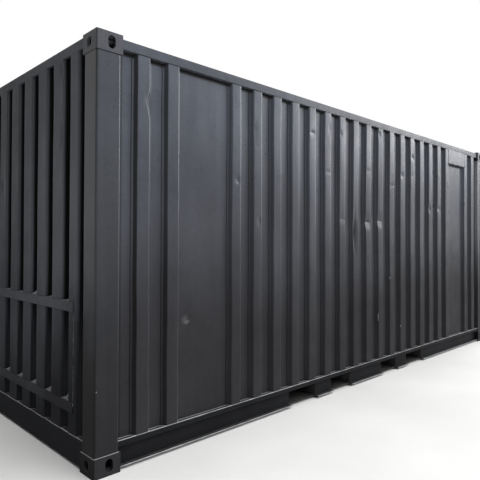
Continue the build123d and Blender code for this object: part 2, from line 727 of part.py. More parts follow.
with BuildPart() as catches:
    for i, y in enumerate(rod_places):
        way = 1 if i in (0, 2) else -1
        z = handle_middle + way * HANDLE_STAGGER / 2
        with Locations((DOOR_FACE, y + way * (HANDLE_LENGTH - CATCH_WIDTH), z)):
            Box(bar_x - DOOR_FACE, CATCH_WIDTH, HANDLE_HEIGHT,
                align=(Align.MIN, Align.CENTER, Align.CENTER))
keep(catches.part, "handle_catches")

# Hinges: a blade on the leaf with its pin, between two lugs on the post
pin_x = REAR_POST_FACE + PIN_FROM_POST
pin_y = POST_INSIDE - PIN_FROM_EDGE
hinge_levels = [leaf_bottom + (i + 0.5) * leaf_height / HINGES for i in range(HINGES)]
with BuildPart() as hinges:
    for z in hinge_levels:
        with BuildSketch(Plane.XY.offset(z - HINGE_HEIGHT / 2)):
            with BuildLine():
                Polyline(
                    (DOOR_FACE, leaf_outer),
                    (DOOR_FACE, leaf_outer + HINGE_BLADE),
                    (DOOR_FACE + HINGE_STEEL, leaf_outer + HINGE_BLADE),
                    (DOOR_FACE + HINGE_STEEL, leaf_outer + PIN_FROM_EDGE),
                    (pin_x + KNUCKLE_RADIUS, pin_y),
                    (pin_x - KNUCKLE_RADIUS, pin_y),
                    (pin_x - KNUCKLE_RADIUS, leaf_outer),
                    close=True)
            make_face()
            with Locations((pin_x, pin_y)):
                RegularPolygon(KNUCKLE_RADIUS, ROUND_SIDES)
        extrude(amount=HINGE_HEIGHT)
        with BuildSketch(Plane.XY.offset(z - HINGE_HEIGHT / 2 - LUG_HEIGHT - PIN_END)):
            with Locations((pin_x, pin_y)):
                RegularPolygon(PIN_RADIUS, ROUND_SIDES)
        extrude(amount=HINGE_HEIGHT + 2 * (LUG_HEIGHT + PIN_END))
keep_pair(hinges.part, "door_hinges")

with BuildPart() as lugs:
    for z in hinge_levels:
        for side in (-1, 1):
            middle = z + side * (HINGE_HEIGHT / 2 + LUG_GAP + LUG_HEIGHT / 2)
            with BuildSketch(Plane.XY.offset(middle - LUG_HEIGHT / 2)):
                with Locations((REAR_POST_FACE, pin_y)):
                    Rectangle(PIN_FROM_POST, 2 * KNUCKLE_RADIUS, align=(Align.MIN, Align.CENTER))
                with Locations((pin_x, pin_y)):
                    RegularPolygon(KNUCKLE_RADIUS, ROUND_SIDES)
                    RegularPolygon(PIN_RADIUS + ROD_GAP, ROUND_SIDES, mode=Mode.SUBTRACT)
            extrude(amount=LUG_HEIGHT)
keep_pair(lugs.part, "hinge_lugs")
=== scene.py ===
import json
from math import cos, exp, pi, radians, sin, tan

import bmesh
import bpy
from mathutils import Matrix, Vector, noise


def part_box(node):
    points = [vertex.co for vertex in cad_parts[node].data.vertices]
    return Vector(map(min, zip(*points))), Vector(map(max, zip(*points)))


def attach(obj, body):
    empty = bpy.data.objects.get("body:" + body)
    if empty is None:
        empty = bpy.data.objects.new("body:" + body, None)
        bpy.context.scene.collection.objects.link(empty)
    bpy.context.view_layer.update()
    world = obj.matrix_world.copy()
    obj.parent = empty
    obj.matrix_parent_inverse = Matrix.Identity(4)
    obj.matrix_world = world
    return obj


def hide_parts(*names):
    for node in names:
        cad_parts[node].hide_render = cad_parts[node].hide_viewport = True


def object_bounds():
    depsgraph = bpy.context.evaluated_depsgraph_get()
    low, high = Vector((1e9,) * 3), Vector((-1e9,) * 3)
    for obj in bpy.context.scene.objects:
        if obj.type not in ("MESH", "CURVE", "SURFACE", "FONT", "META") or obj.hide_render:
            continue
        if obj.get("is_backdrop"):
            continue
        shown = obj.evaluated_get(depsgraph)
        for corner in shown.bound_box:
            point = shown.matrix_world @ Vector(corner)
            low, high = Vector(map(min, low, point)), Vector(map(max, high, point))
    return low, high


# The looks of a twenty-foot steel container: blind end at low X, doors at high X.
# Every length is in metres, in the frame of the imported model.
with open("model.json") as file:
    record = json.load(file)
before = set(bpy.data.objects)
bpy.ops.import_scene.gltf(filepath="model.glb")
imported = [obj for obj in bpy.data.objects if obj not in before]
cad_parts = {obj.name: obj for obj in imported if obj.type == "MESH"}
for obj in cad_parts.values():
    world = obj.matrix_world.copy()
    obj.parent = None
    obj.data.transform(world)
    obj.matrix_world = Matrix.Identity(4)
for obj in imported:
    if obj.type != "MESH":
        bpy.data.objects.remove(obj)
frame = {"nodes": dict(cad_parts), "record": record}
cad_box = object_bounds()
nodes = frame["nodes"]
SIDES = (-1, 1)

# Side walls, as pressed
RIB_PITCH = 0.233
RIB_FACE = 0.088
RIB_SLOPE = 0.028
RIB_DEPTH = 0.032
MIDDLE_RIBS = 17
WIDE_FLAT_STEP = 0.590
END_RIB_STEP = 0.234

# Front wall, as pressed
END_PITCH = 0.236
END_GAP = 0.101
END_SLOPE = 0.018
END_DEPTH = 0.044
END_GAPS = 8
END_LAST_FACE = 0.103

# Roof and door panels, as pressed
ROOF_PITCH = 0.209
ROOF_TROUGH = 0.091
ROOF_SLOPE = 0.0135
ROOF_DEPTH = 0.018
ROOF_TROUGHS = 27
DOOR_TROUGHS = 4
DOOR_TROUGH_FLOOR = 0.260
DOOR_TROUGH_SLOPE = 0.040
DOOR_TROUGH_DEPTH = 0.036

# Corner fittings
FITTING_LENGTH = 0.178
FITTING_WIDTH = 0.162
FITTING_HEIGHT = 0.118

# The sheet, its bends, the bulge of a rib's face, and half the height of a fold's crease
SHEET = 0.002
OUTER_BEND = 0.011
INNER_BEND = 0.012
TIGHT_BEND = 0.006
BEND_STEPS = 3
RIB_CROWN = 0.0006
CREASE = 0.0015


def corners(name):
    """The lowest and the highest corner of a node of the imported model."""
    return [Vector(corner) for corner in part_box(name)]


# Where a few surfaces lie
wall_low, wall_high = corners("left_side_wall")
front_low, front_high = corners("front_wall")
roof_low, roof_high = corners("roof_sheet")
SIDE_FACE = wall_low.y
END_FACE = front_low.x


# Materials

def add_node(tree, kind, inputs=None, **settings):
    """One node: an input given a socket is linked, and any other is set."""
    made = tree.nodes.new("ShaderNode" + kind)
    for name, value in settings.items():
        setattr(made, name, value)
    for name, value in (inputs or {}).items():
        if isinstance(value, bpy.types.NodeSocket):
            tree.links.new(value, made.inputs[name])
        else:
            made.inputs[name].default_value = value
    return made


def new_material(name):
    """A new material, its node tree, and where each point lies in the model's frame."""
    material = bpy.data.materials.new(name)
    material.use_nodes = True
    tree = material.node_tree
    tree.nodes.clear()
    return material, tree, add_node(tree, "TexCoord").outputs["Object"]


def grain(tree, place, scale, detail=3.0, stretch=(1, 1, 1), rough=0.55):
    """A noise between 0 and 1, stretched along the axes."""
    moved = add_node(tree, "Mapping", {"Vector": place, "Scale": stretch})
    made = add_node(tree, "TexNoise", {"Vector": moved.outputs[0], "Scale": scale,
                                       "Detail": detail, "Roughness": rough})
    return made.outputs["Fac"]


def ramp(tree, value, low, high, bottom=0.0, top=1.0):
    """Map the range low to high onto bottom to top, smoothly and clamped."""
    made = add_node(tree, "MapRange", {"Value": value, "From Min": low, "From Max": high,
                                       "To Min": bottom, "To Max": top},
                    interpolation_type="SMOOTHSTEP")
    return made.outputs[0]


def arithmetic(tree, operation, first, second):
    return add_node(tree, "Math", {0: first, 1: second}, operation=operation).outputs[0]


def blend(tree, factor, first, second):
    """Mix two colours by a factor."""
    made = add_node(tree, "Mix", {"Factor": factor}, data_type="RGBA")
    for socket, value in ((made.inputs[6], first), (made.inputs[7], second)):
        if isinstance(value, bpy.types.NodeSocket):
            tree.links.new(value, socket)
        else:
            socket.default_value = (*value, 1)
    return made.outputs[2]


def shade(tree, colour, factor):
    """Make a colour lighter or darker by a factor."""
    made = add_node(tree, "VectorMath", {0: colour, "Scale": factor}, operation="SCALE")
    return made.outputs[0]


def bumped(tree, height, distance, normal=None):
    inputs = {"Height": height, "Distance": distance, "Strength": 1.0}
    if normal is not None:
        inputs["Normal"] = normal
    return add_node(tree, "Bump", inputs).outputs[0]


def finished(material, tree, inputs):
    """The material, with its shader."""
    shader = add_node(tree, "BsdfPrincipled", inputs)
    tree.links.new(shader.outputs[0], add_node(tree, "OutputMaterial").inputs[0])
    return material


def times(tree, *factors):
    """The product of two or more numbers."""
    result = factors[0]
    for factor in factors[1:]:
        result = arithmetic(tree, "MULTIPLY", result, factor)
    return result


def apart(tree, value, place):
    """How far a value is from a place, on either side."""
    return arithmetic(tree, "ABSOLUTE", arithmetic(tree, "SUBTRACT", value, place), 0.0)


def band(tree, value, rise, fall):
    """1 between two ranges: it rises from 0 over the first and falls to 0 over the second."""
    return times(tree, ramp(tree, value, *rise), ramp(tree, value, *fall, 1.0, 0.0))


# Colours, in linear red, green and blue
DUST = (0.190, 0.188, 0.182)
EDGE_DUST = (0.300, 0.305, 0.320)
# Paint goes from its low colour near the ground to its high colour at the top: painted shade below,
# painted light above
PAINT_LOW = (0.0176, 0.0174, 0.0198)
PAINT_HIGH = (0.062, 0.0695, 0.088)
# The front wall's colours, darker than the sides' as painted shade, since little light comes from
# the front
END_LOW = (0.0120, 0.0124, 0.0142)
END_HIGH = (0.0650, 0.0686, 0.0780)
# Copies of the same dark paint for the posts, top rails and fittings, each given its own colour as
# painted light
POST_LOW = (0.0112, 0.0112, 0.0128)
POST_HIGH = (0.067, 0.0745, 0.0905)
RAIL_HIGH = (0.062, 0.068, 0.082)
FITTING_HIGH = (0.056, 0.059, 0.070)
GEAR_HIGH = (0.070, 0.072, 0.078)
# Dark low colour of the bottom rails, as painted shade on their webs
LEDGE_SHADED_LOW = (0.0065, 0.0068, 0.0078)
# Near black used as painted shade on the side walls and in grooves
PAINTED_SHADE = (0.0038, 0.0039, 0.0044)
# Painted shade low in the grooves of the front wall
GROOVE_SHADE_LOW = (0.0200, 0.0206, 0.0230)
# Pale colours for painted highlights on dents and on the bends of the ribs
PAINTED_HIGHLIGHT = (0.080, 0.082, 0.086)
BEND_HIGHLIGHT_COLOUR = (0.150, 0.156, 0.168)
# Pale colour for a painted highlight along the corners of the posts
POST_EDGE_HIGHLIGHT = (0.280, 0.290, 0.310)
RUST = (0.075, 0.045, 0.030)
WELD = (0.150, 0.153, 0.160)
# Pale colour for dust and a painted highlight along the lips and flanges of the bottom rails
LIP_DUST_AND_HIGHLIGHT = (0.270, 0.275, 0.290)
# Near black for dark joint gaps and painted shadows at seams, and for plugged holes
GAP_SHADOW_AND_HOLE = (0.006, 0.006, 0.007)

# The heights between which paint lightens, as painted light above and painted shade below, and how
# much it mirrors
PAINT_REACH = (0.75, 3.15)
END_REACH = (0.75, 1.50)
SHINE = 0.22

# Where the left side wall has a painted highlight on a dent, a crushed rib edge, and its near flat
HIGHLIGHT_PLACE = (-2.314, -1.175, 0.834)
CRUSH_X = -2.635
NEAR_FLAT_X = -2.200
NEAR_FLAT_HALF = 0.180


def light_on_slopes(tree, x, z, depth, back):
    """How light the side walls are where they face the front, as painted shade: darker on the outer
    part of the slopes, mostly near the front and high up, and in the recesses behind them. None is
    painted on the crushed rib edge or the near flat."""
    inner = ramp(tree, depth, 0.019, 0.025)
    outer_light = arithmetic(tree, "ADD", ramp(tree, x, -2.7, -2.0, 0.12, 0.80),
                             ramp(tree, z, 0.5, 1.3, 0.22, 0.0))
    light = ramp(tree, depth, 0.019, 0.025, outer_light, 1.3)
    slope = times(tree, ramp(tree, back, 0.42, 0.68),
                  ramp(tree, apart(tree, x, CRUSH_X), 0.030, 0.042))
    lost = times(tree, slope, arithmetic(tree, "SUBTRACT", 1.0, light))
    crease = arithmetic(tree, "SUBTRACT", ramp(tree, back, 0.02, 0.12), slope)
    crease = times(tree, crease, inner, ramp(tree, apart(tree, x, NEAR_FLAT_X), NEAR_FLAT_HALF,
                                             NEAR_FLAT_HALF + 0.02), 0.85)
    return arithmetic(tree, "SUBTRACT", 1.0, arithmetic(tree, "ADD", lost, crease))


def rib_painted_light(tree, place, axes, back, up, level, colour):
    """Painted shade on the side walls: on slopes, beside the front posts, under the top rails,
    behind the middle ribs, low down towards the doors and under folds. Painted highlights on what
    faces up below dents, on the outer bends that face the doors, on the far edges of the middle
    ribs, and round one dent."""
    x, y, z = axes[0], axes[1], axes[2]
    depth = arithmetic(tree, "SUBTRACT", -SIDE_FACE, apart(tree, y, 0.0))
    deep = ramp(tree, depth, 0.004, 0.012)
    colour = shade(tree, colour, light_on_slopes(tree, x, z, depth, back))

    # Where a point lies between one rib's centre, at 0, and the next one's, at 1
    first = -(MIDDLE_RIBS - 1) / 2 * RIB_PITCH
    turn = arithmetic(tree, "DIVIDE", arithmetic(tree, "SUBTRACT", x, first), RIB_PITCH)
    turn = arithmetic(tree, "FRACT", turn, 0.0)
    half = MIDDLE_RIBS / 2 * RIB_PITCH
    middle = ramp(tree, apart(tree, x, 0.0), half - 0.060, half - 0.040, 1.0, 0.0)

    # Painted shade beside the front posts, under the top rails, behind the middle ribs, low down
    # towards the doors and under folds
    shade_beside_post = ramp(tree, x, wall_low.x + 0.030, wall_low.x + 0.040, 0.5, 0.0)
    shade_under_rail = times(tree, deep, ramp(tree, z, wall_high.z - 0.034, wall_high.z - 0.018))
    shade_behind_ribs = times(tree, ramp(tree, turn, 0.36, 0.66, 0.0, 0.35),
                        ramp(tree, level, 1.3, 2.0, 0.35, 1.0), deep, middle)
    far = times(tree, ramp(tree, x, -1.7, -0.5, 0.0, 0.18), ramp(tree, x, 0.4, 1.3, 1.0, 0.5),
                ramp(tree, level, 1.5, 2.3, 1.0, 0.0))
    shade_under_folds = times(tree, ramp(tree, up, -0.30, -0.13, 0.85, 0.0), ramp(tree, z, 1.2, 1.4))
    # Painted highlights: on what faces up below dents and folds, on the outer bends that face the
    # doors, and round one dent
    up_facing_highlight = ramp(tree, up, 0.10, 0.16, 0.0, 0.55)
    bend_highlight = times(tree, band(tree, times(tree, back, -1.0), (0.12, 0.30), (0.52, 0.68)),
                 ramp(tree, depth, 0.014, 0.020, 1.0, 0.0), ramp(tree, level, 1.2, 2.4, 0.12, 0.80))
    from_highlight = add_node(tree, "VectorMath", {0: place, 1: HIGHLIGHT_PLACE}, operation="DISTANCE")
    scuffed = ramp(tree, from_highlight.outputs["Value"], 0.012, 0.046, 0.45, 0.0)
    for amount, over in ((shade_beside_post, PAINTED_SHADE), (shade_under_rail, PAINTED_SHADE), (shade_behind_ribs, PAINTED_SHADE),
                         (far, PAINTED_SHADE), (shade_under_folds, PAINTED_SHADE), (up_facing_highlight, PAINTED_HIGHLIGHT), (bend_highlight, BEND_HIGHLIGHT_COLOUR),
                         (scuffed, PAINTED_HIGHLIGHT)):
        colour = blend(tree, amount, colour, over)
    # Painted highlight on the far edges of the middle ribs, high up
    pale = times(tree, band(tree, turn, (0.130, 0.170), (0.195, 0.215)), middle,
                 ramp(tree, depth, 0.019, 0.025, 1.0, 0.0), ramp(tree, level, 1.3, 2.3, 0.0, 0.75))
    return shade(tree, colour, arithmetic(tree, "ADD", pale, 1.0))


def front_painted_shade(tree, axes, level, share):
    """The colour of what faces the front, as painted shade: the front wall's, times a share, darker
    near the top, and less where the corner post stands in its light."""
    raised = arithmetic(tree, "ADD", level, ramp(tree, axes[1], -0.9, -0.1, 0.0, 0.55))
    colour = blend(tree, ramp(tree, raised, *END_REACH), END_LOW, END_HIGH)
    fade = times(tree, ramp(tree, level, 1.9, 2.8, share, 0.72 * share),
                 ramp(tree, axes[1], -0.9, 0.2, 1.0, 0.56))
    return shade(tree, colour, fade)


def paint(name, low=PAINT_LOW, high=PAINT_HIGH, reach=PAINT_REACH, dust=0.35, rough=0.29,
          peel=0.00010, wear=0.0, matt=0.5, shine=SHINE, groove=None, edge=None,
          front=None, ribs=False, corner=None):
    """Satin paint, glossier towards the top, with dust on what faces up. Its colour is painted
    light: lighter towards the top, and darker towards the ground as painted shade. `reach` gives
    the heights between which it lightens. `groove` gives the X at which painted shade in a groove
    starts and the X at which it is full. `edge` gives the axis and the distance at which a pale
    line of dust lies on a ledge. `corner` gives the X, on either side of the middle, of a corner
    with a painted highlight. What faces the front has the colour of the front wall times `front`,
    as painted shade, and with `ribs`, painted shade and painted highlights lie on the ribs of the
    side walls."""
    material, tree, place = new_material(name)
    axes = add_node(tree, "SeparateXYZ", {0: place}).outputs
    facing = add_node(tree, "SeparateXYZ", {0: add_node(tree, "NewGeometry").outputs["Normal"]})
    up = facing.outputs[2]
    back = times(tree, facing.outputs[0], -1.0)

    patches = grain(tree, place, 1.5, 4.0)
    streaks = grain(tree, place, 1.0, 4.0, (13, 13, 0.5))
    grime = grain(tree, place, 42.0, 4.0)
    level = arithmetic(tree, "ADD", axes[2], times(tree, patches, 0.5))
    # Painted light: lighter towards the top, and darker towards the ground as painted shade
    colour = blend(tree, ramp(tree, level, *reach), low, high)
    # Painted shade: what faces the front takes the front wall's darker colour
    if front:
        colour = blend(tree, ramp(tree, back, 0.4, 0.8), colour,
                       front_painted_shade(tree, axes, level, front))
    colour = shade(tree, colour, ramp(tree, patches, 0.2, 0.8, 0.86, 1.14))
    colour = shade(tree, colour, ramp(tree, streaks, 0.25, 0.75, 0.92, 1.08))
    colour = shade(tree, colour, ramp(tree, grime, 0.3, 0.7, 0.94, 1.05))
    if ribs:
        colour = rib_painted_light(tree, place, axes, back, up, level, colour)
    # Painted shade in the grooves of the front wall, darkest high up
    if groove:
        groove_shade = blend(tree, ramp(tree, level, 0.7, 1.3), GROOVE_SHADE_LOW, PAINTED_SHADE)
        colour = blend(tree, ramp(tree, axes[0], *groove), colour, groove_shade)
    # Painted highlight along the rounded corners of the posts, fainter towards the ground
    if corner:
        near = ramp(tree, apart(tree, axes[0], 0.0), corner + 0.0030, corner + 0.0075, 1.0, 0.0)
        colour = blend(tree, times(tree, near, ramp(tree, level, 0.9, 2.2, 0.1, 0.9)),
                       colour, POST_EDGE_HIGHLIGHT)
    film = times(tree, ramp(tree, up, 0.30, 0.85),
                 ramp(tree, grain(tree, place, 26.0, 5.0), 0.28, 0.62, 0.25, 1.0), dust)
    colour = blend(tree, film, colour, DUST)
    if edge:
        axis, distance = edge
        outwards = apart(tree, axes[axis], 0.0)
        line = times(tree, ramp(tree, outwards, distance - 0.008, distance - 0.005),
                     ramp(tree, up, 0.15, 0.5),
                     ramp(tree, grain(tree, place, 9.0, 4.0), 0.35, 0.60, 0.35, 0.95))
        colour = blend(tree, line, colour, EDGE_DUST)
    splash = times(tree, ramp(tree, grain(tree, place, 160.0, 2.0), 0.70, 0.76),
                   ramp(tree, axes[2], 0.55, 0.05, 0.0, 0.35))
    colour = blend(tree, splash, colour, DUST)
    if wear:
        chipped = ramp(tree, grain(tree, place, 30.0, 6.0, rough=0.7), 0.66, 0.72, 0.0, wear)
        colour = blend(tree, chipped, colour, RUST)

    roughness = ramp(tree, grain(tree, place, 5.0, 5.0), 0.25, 0.75, rough - 0.05, rough + 0.07)
    rougher = [ramp(tree, level, 0.9, 2.1, matt, 0.0), times(tree, film, 0.45)]
    if groove:
        rougher.append(ramp(tree, axes[0], *groove, 0.0, 0.45))
    for more in rougher:
        roughness = arithmetic(tree, "ADD", roughness, more)
    relief = bumped(tree, grain(tree, place, 420.0, 2.0), peel)
    relief = bumped(tree, grain(tree, place, 7.0, 3.0, (1, 1, 0.6)), 0.0010, relief)
    return finished(material, tree, {
        "Base Color": colour, "Roughness": roughness, "Normal": relief, "IOR": 1.45,
        "Specular IOR Level": shine})


def underbody(name):
    """Thick matt coating with mud and spots of rust."""
    material, tree, place = new_material(name)
    coarse = grain(tree, place, 6.0, 6.0)
    fine = grain(tree, place, 70.0, 4.0)
    colour = blend(tree, ramp(tree, coarse, 0.3, 0.7),
                   (0.012, 0.012, 0.0125), (0.030, 0.029, 0.028))
    colour = blend(tree, ramp(tree, grain(tree, place, 18.0, 7.0, rough=0.7), 0.58, 0.70, 0.0, 0.7),
                   colour, (0.070, 0.034, 0.018))
    colour = blend(tree, ramp(tree, fine, 0.55, 0.75, 0.0, 0.35), colour, DUST)
    return finished(material, tree, {
        "Base Color": colour, "Roughness": ramp(tree, fine, 0.3, 0.7, 0.62, 0.85),
        "Normal": bumped(tree, fine, 0.0008), "IOR": 1.45})


def rubber(name):
    """Weathered black rubber with a grey bloom."""
    material, tree, place = new_material(name)
    bloom = grain(tree, place, 9.0, 5.0)
    fine = grain(tree, place, 240.0, 3.0)
    colour = blend(tree, ramp(tree, bloom, 0.35, 0.75),
                   (0.010, 0.010, 0.010), (0.030, 0.030, 0.031))
    return finished(material, tree, {
        "Base Color": colour, "Roughness": ramp(tree, bloom, 0.3, 0.7, 0.55, 0.75),
        "Normal": bumped(tree, fine, 0.0003), "IOR": 1.5})


def plywood(name):
    """Oiled plywood with its grain along the container, scuffed and stained."""
    material, tree, place = new_material(name)
    lines = grain(tree, place, 6.0, 6.0, (0.5, 12, 6), 0.65)
    pores = grain(tree, place, 40.0, 3.0, (0.25, 12, 6), 0.6)
    stains = grain(tree, place, 2.0, 5.0)
    colour = blend(tree, ramp(tree, lines, 0.3, 0.7), (0.115, 0.060, 0.028), (0.245, 0.150, 0.080))
    colour = shade(tree, colour, ramp(tree, pores, 0.3, 0.6, 0.72, 1.05))
    colour = shade(tree, colour, ramp(tree, stains, 0.3, 0.7, 0.70, 1.08))
    return finished(material, tree, {
        "Base Color": colour, "Roughness": ramp(tree, stains, 0.3, 0.7, 0.48, 0.72),
        "Normal": bumped(tree, pores, 0.0004), "IOR": 1.45})


def dirt(name):
    """Dry pale dust and grit that lies on the ledges."""
    material, tree, place = new_material(name)
    lumps = grain(tree, place, 60.0, 5.0, rough=0.7)
    grit = grain(tree, place, 420.0, 3.0)
    colour = blend(tree, ramp(tree, lumps, 0.3, 0.7), (0.050, 0.052, 0.055), (0.165, 0.168, 0.174))
    colour = shade(tree, colour, ramp(tree, grit, 0.3, 0.7, 0.7, 1.25))
    return finished(material, tree, {
        "Base Color": colour, "Roughness": ramp(tree, grit, 0.3, 0.7, 0.85, 1.0),
        "Normal": bumped(tree, grit, 0.0015), "IOR": 1.4})


materials = {
    "painted_steel": paint("satin_dark_paint"),
    # The fittings' copy of the paint, darker as painted light, with painted shade where they face
    # the front
    "fitting_steel": paint("painted_casting", high=FITTING_HIGH, rough=0.42, peel=0.0006,
                           dust=0.08, wear=0.35, front=0.50),
    "under_steel": underbody("underbody_coating"),
    "door_gear": paint("painted_forging", high=GEAR_HIGH, rough=0.34, wear=0.25),
    "rubber": rubber("black_rubber"),
    "plywood": plywood("oiled_plywood"),
}
dust_material = dirt("dry_dust")
# The front wall takes the front's darker colours as painted shade, with painted shade in its
# grooves
end_paint = paint("front_wall_paint", END_LOW, END_HIGH, END_REACH, rough=0.50, matt=0.3,
                  shine=0.06, groove=(END_FACE + 0.004, END_FACE + 0.026), front=1.0)
# The posts' copy of the paint, lighter as painted light, with painted shade where they face the
# front and a painted highlight on their corners
post_paint = paint("post_paint", POST_LOW, POST_HIGH, (0.5, 4.5), shine=0.25, front=0.36,
                   corner=-wall_low.x)
# The top rails' copy of the paint, its colour changed as painted light
rail_paint = paint("top_rail_paint", high=RAIL_HIGH, dust=0.5, shine=0.10)
wall_paint = paint("side_wall_paint", rough=0.30, ribs=True)
# The bottom rails' paint, darker as painted shade
side_ledge_paint = paint("side_ledge_paint", LEDGE_SHADED_LOW, dust=0.12, shine=0.15,
                         edge=(1, -SIDE_FACE))
# The sill and the bars take the front's darker colours as painted shade
front_ledge_paint = paint("front_ledge_paint", END_LOW, END_HIGH, END_REACH, dust=0.2,
                          rough=0.50, shine=0.12, edge=(0, -END_FACE))
bar_paint = paint("bar_paint", END_LOW, END_HIGH, END_REACH, dust=0.08, rough=0.50, matt=0.3,
                  shine=0.12, front=1.0)
weld_paint = paint("dusty_weld_paint", WELD, WELD, dust=1.0)
# Paint for dust and a painted highlight on the bottom rails
lip_dust_and_highlight_paint = paint("dust_and_highlight_lip_paint", LIP_DUST_AND_HIGHLIGHT, LIP_DUST_AND_HIGHLIGHT, dust=0.6)
# Paint for dark joint gaps, painted shadows and plugged holes
gap_shadow_and_hole_paint = paint("gap_shadow_and_hole_paint", GAP_SHADOW_AND_HOLE, GAP_SHADOW_AND_HOLE, dust=0.0)


def for_both_sides(table):
    """The table with each * replaced by left, and then by right."""
    return {name.replace("*", hand): value for name, value in table.items()
            for hand in (("left", "right") if "*" in name else ("",))}


paint_of = for_both_sides({
    "front_middle_bar": bar_paint, "front_lower_bar": bar_paint, "front_top_rail": end_paint,
    "*_bottom_rail": side_ledge_paint, "front_sill": front_ledge_paint,
    "*_front_post": post_paint, "*_rear_post": post_paint, "*_top_rail": rail_paint,
    "marking_plates": wall_paint,
})


# Making pieces

SHARP_ANGLE = 40.0


def finish_piece(piece, slot, material=None, stands_for=()):
    """Give a piece its finish, its body and its shading."""
    piece.data.materials.clear()
    piece.data.materials.append(material or materials[slot])
    piece.data.shade_smooth()
    piece.data.set_sharp_from_angle(angle=radians(SHARP_ANGLE))
    weighted = piece.modifiers.new("weighted_normals", "WEIGHTED_NORMAL")
    weighted.keep_sharp = True
    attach(piece, "root")
    if stands_for:
        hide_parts(*stands_for)


def placed(name, data):
    """An object in the scene."""
    made = bpy.data.objects.new(name, data)
    bpy.context.scene.collection.objects.link(made)
    return made


def new_piece(name, points, faces):
    """A closed piece made from points and faces, which are turned outwards."""
    data = bpy.data.meshes.new(name)
    data.from_pydata(points, [], faces)
    data.validate()
    mesh = bmesh.new()
    mesh.from_mesh(data)
    loose = [vertex for vertex in mesh.verts if not vertex.link_faces]
    bmesh.ops.delete(mesh, geom=loose, context="VERTS")
    bmesh.ops.recalc_face_normals(mesh, faces=mesh.faces)
    mesh.to_mesh(data)
    mesh.free()
    return placed(name, data)


def node_slot(name):
    """The material slot that the record gives to a node."""
    parts = frame["record"]["subparts"]
    return next(part["material_slot"] for part in parts if part["node"] == name)


# Edges with a sharper turn than this are rounded, in so many steps
ROUNDED_ANGLE = 30.0
ROUNDED_STEPS = 2


def soften(name, width):
    """A copy of a node with its sharp edges rounded, to stand for it."""
    mesh = bmesh.new()
    mesh.from_mesh(nodes[name].data)
    bmesh.ops.remove_doubles(mesh, verts=mesh.verts, dist=1e-5)
    bmesh.ops.dissolve_limit(mesh, angle_limit=radians(1), verts=mesh.verts, edges=mesh.edges)
    sharp = [edge for edge in mesh.edges if edge.calc_face_angle(0) > radians(ROUNDED_ANGLE)]
    bmesh.ops.bevel(mesh, geom=sharp, offset=width, segments=ROUNDED_STEPS, affect="EDGES",
                    profile=0.5, clamp_overlap=True)
    data = bpy.data.meshes.new(name + "_finished")
    mesh.to_mesh(data)
    mesh.free()
    finish_piece(placed(name + "_finished", data), node_slot(name), paint_of.get(name), [name])


def rounded(line, radii):
    """A plan line with an arc at each inner corner; `radii` repeats along the corners."""
    result = [line[0]]
    for i, (before, corner, after) in enumerate(zip(line, line[1:], line[2:])):
        radius = radii[i % len(radii)]
        back = (before - corner).normalized()
        ahead = (after - corner).normalized()
        turn = pi - back.angle(ahead)
        side = 1 if back.cross(ahead) < 0 else -1
        start = corner + back * radius * tan(turn / 2)
        centre = corner + (back + ahead).normalized() * radius / cos(turn / 2)
        for step in range(BEND_STEPS + 1):
            spoke = Matrix.Rotation(side * turn * step / BEND_STEPS, 2) @ (start - centre)
            result.append(centre + spoke)
    return result + [line[-1]]


def pressed(line):
    """A plan line of a pressed wall, with its bends."""
    return rounded(line, [INNER_BEND, OUTER_BEND, OUTER_BEND, INNER_BEND])


def divided(line, spacing, near=(), reach=0.05, fine=0.010):
    """The line with points added, and closer ones beside the places in `near`."""
    result = [line[0]]
    for start, end in zip(line, line[1:]):
        count = max(1, round((end - start).length / spacing))
        pieces = [(start.lerp(end, i / count), start.lerp(end, (i + 1) / count))
                  for i in range(count)]
        for low, high in pieces:
            middle = (low + high) / 2
            close = any(abs(middle.x - spot) < reach for spot in near)
            parts = max(1, round((high - low).length / fine)) if close else 1
            result += [low.lerp(high, (i + 1) / parts) for i in range(parts)]
    return result


def rows(low, high, spacing, near=(), reach=0.06, fine=0.012):
    """Levels from low to high, closer together beside the levels in `near`."""
    line = divided([Vector((low, 0)), Vector((high, 0))], spacing, near, reach, fine)
    return [point.x for point in line]


def edge_normals(line):
    """Unit normals to the left of a line, stretched so that an offset keeps its thickness."""
    result = []
    for i, point in enumerate(line):
        back = (point - line[i - 1]).normalized() if i else None
        ahead = (line[i + 1] - point).normalized() if i + 1 < len(line) else None
        along = ((back or ahead) + (ahead or back)).normalized()
        stretch = 1 / max(0.5, along.dot(ahead or back))
        result.append(Vector((-along.y, along.x)) * stretch)
    return result


def slab(lines, columns, left_out=()):
    """Faces of a grid of points, of the same grid behind it, and of the rim between them.
    `left_out` names cells of the grid that stay open."""
    count = lines * columns
    faces, edges = [], []
    for i in range(lines - 1):
        for j in range(columns - 1):
            if (i, j) in left_out:
                continue
            first = i * columns + j
            ring = (first, first + columns, first + columns + 1, first + 1)
            faces += [ring, [count + point for point in reversed(ring)]]
            edges += zip(ring, ring[1:] + ring[:1])
    known = set(edges)
    return faces + [(b, a, count + a, count + b) for a, b in edges if (b, a) not in known]


def pressed_sheet(name, line, levels, place, push, material=None):
    """A pressed sheet as a closed shell, to stand for a node. `line` holds (along, depth) pairs
    of the outer face, `push` gives how far a point is moved along and in, and `place` puts it
    in the model."""
    inner = [point + normal * SHEET for point, normal in zip(line, edge_normals(line))]
    points = []
    for side in (line, inner):
        for level in levels:
            for flat, point in zip(line, side):
                aside, inwards = push(flat.x, level)
                points.append(place(point.x + aside, point.y + inwards, level))
    piece = new_piece(name + "_pressed", points, slab(len(levels), len(line)))
    finish_piece(piece, "painted_steel", material, [name])


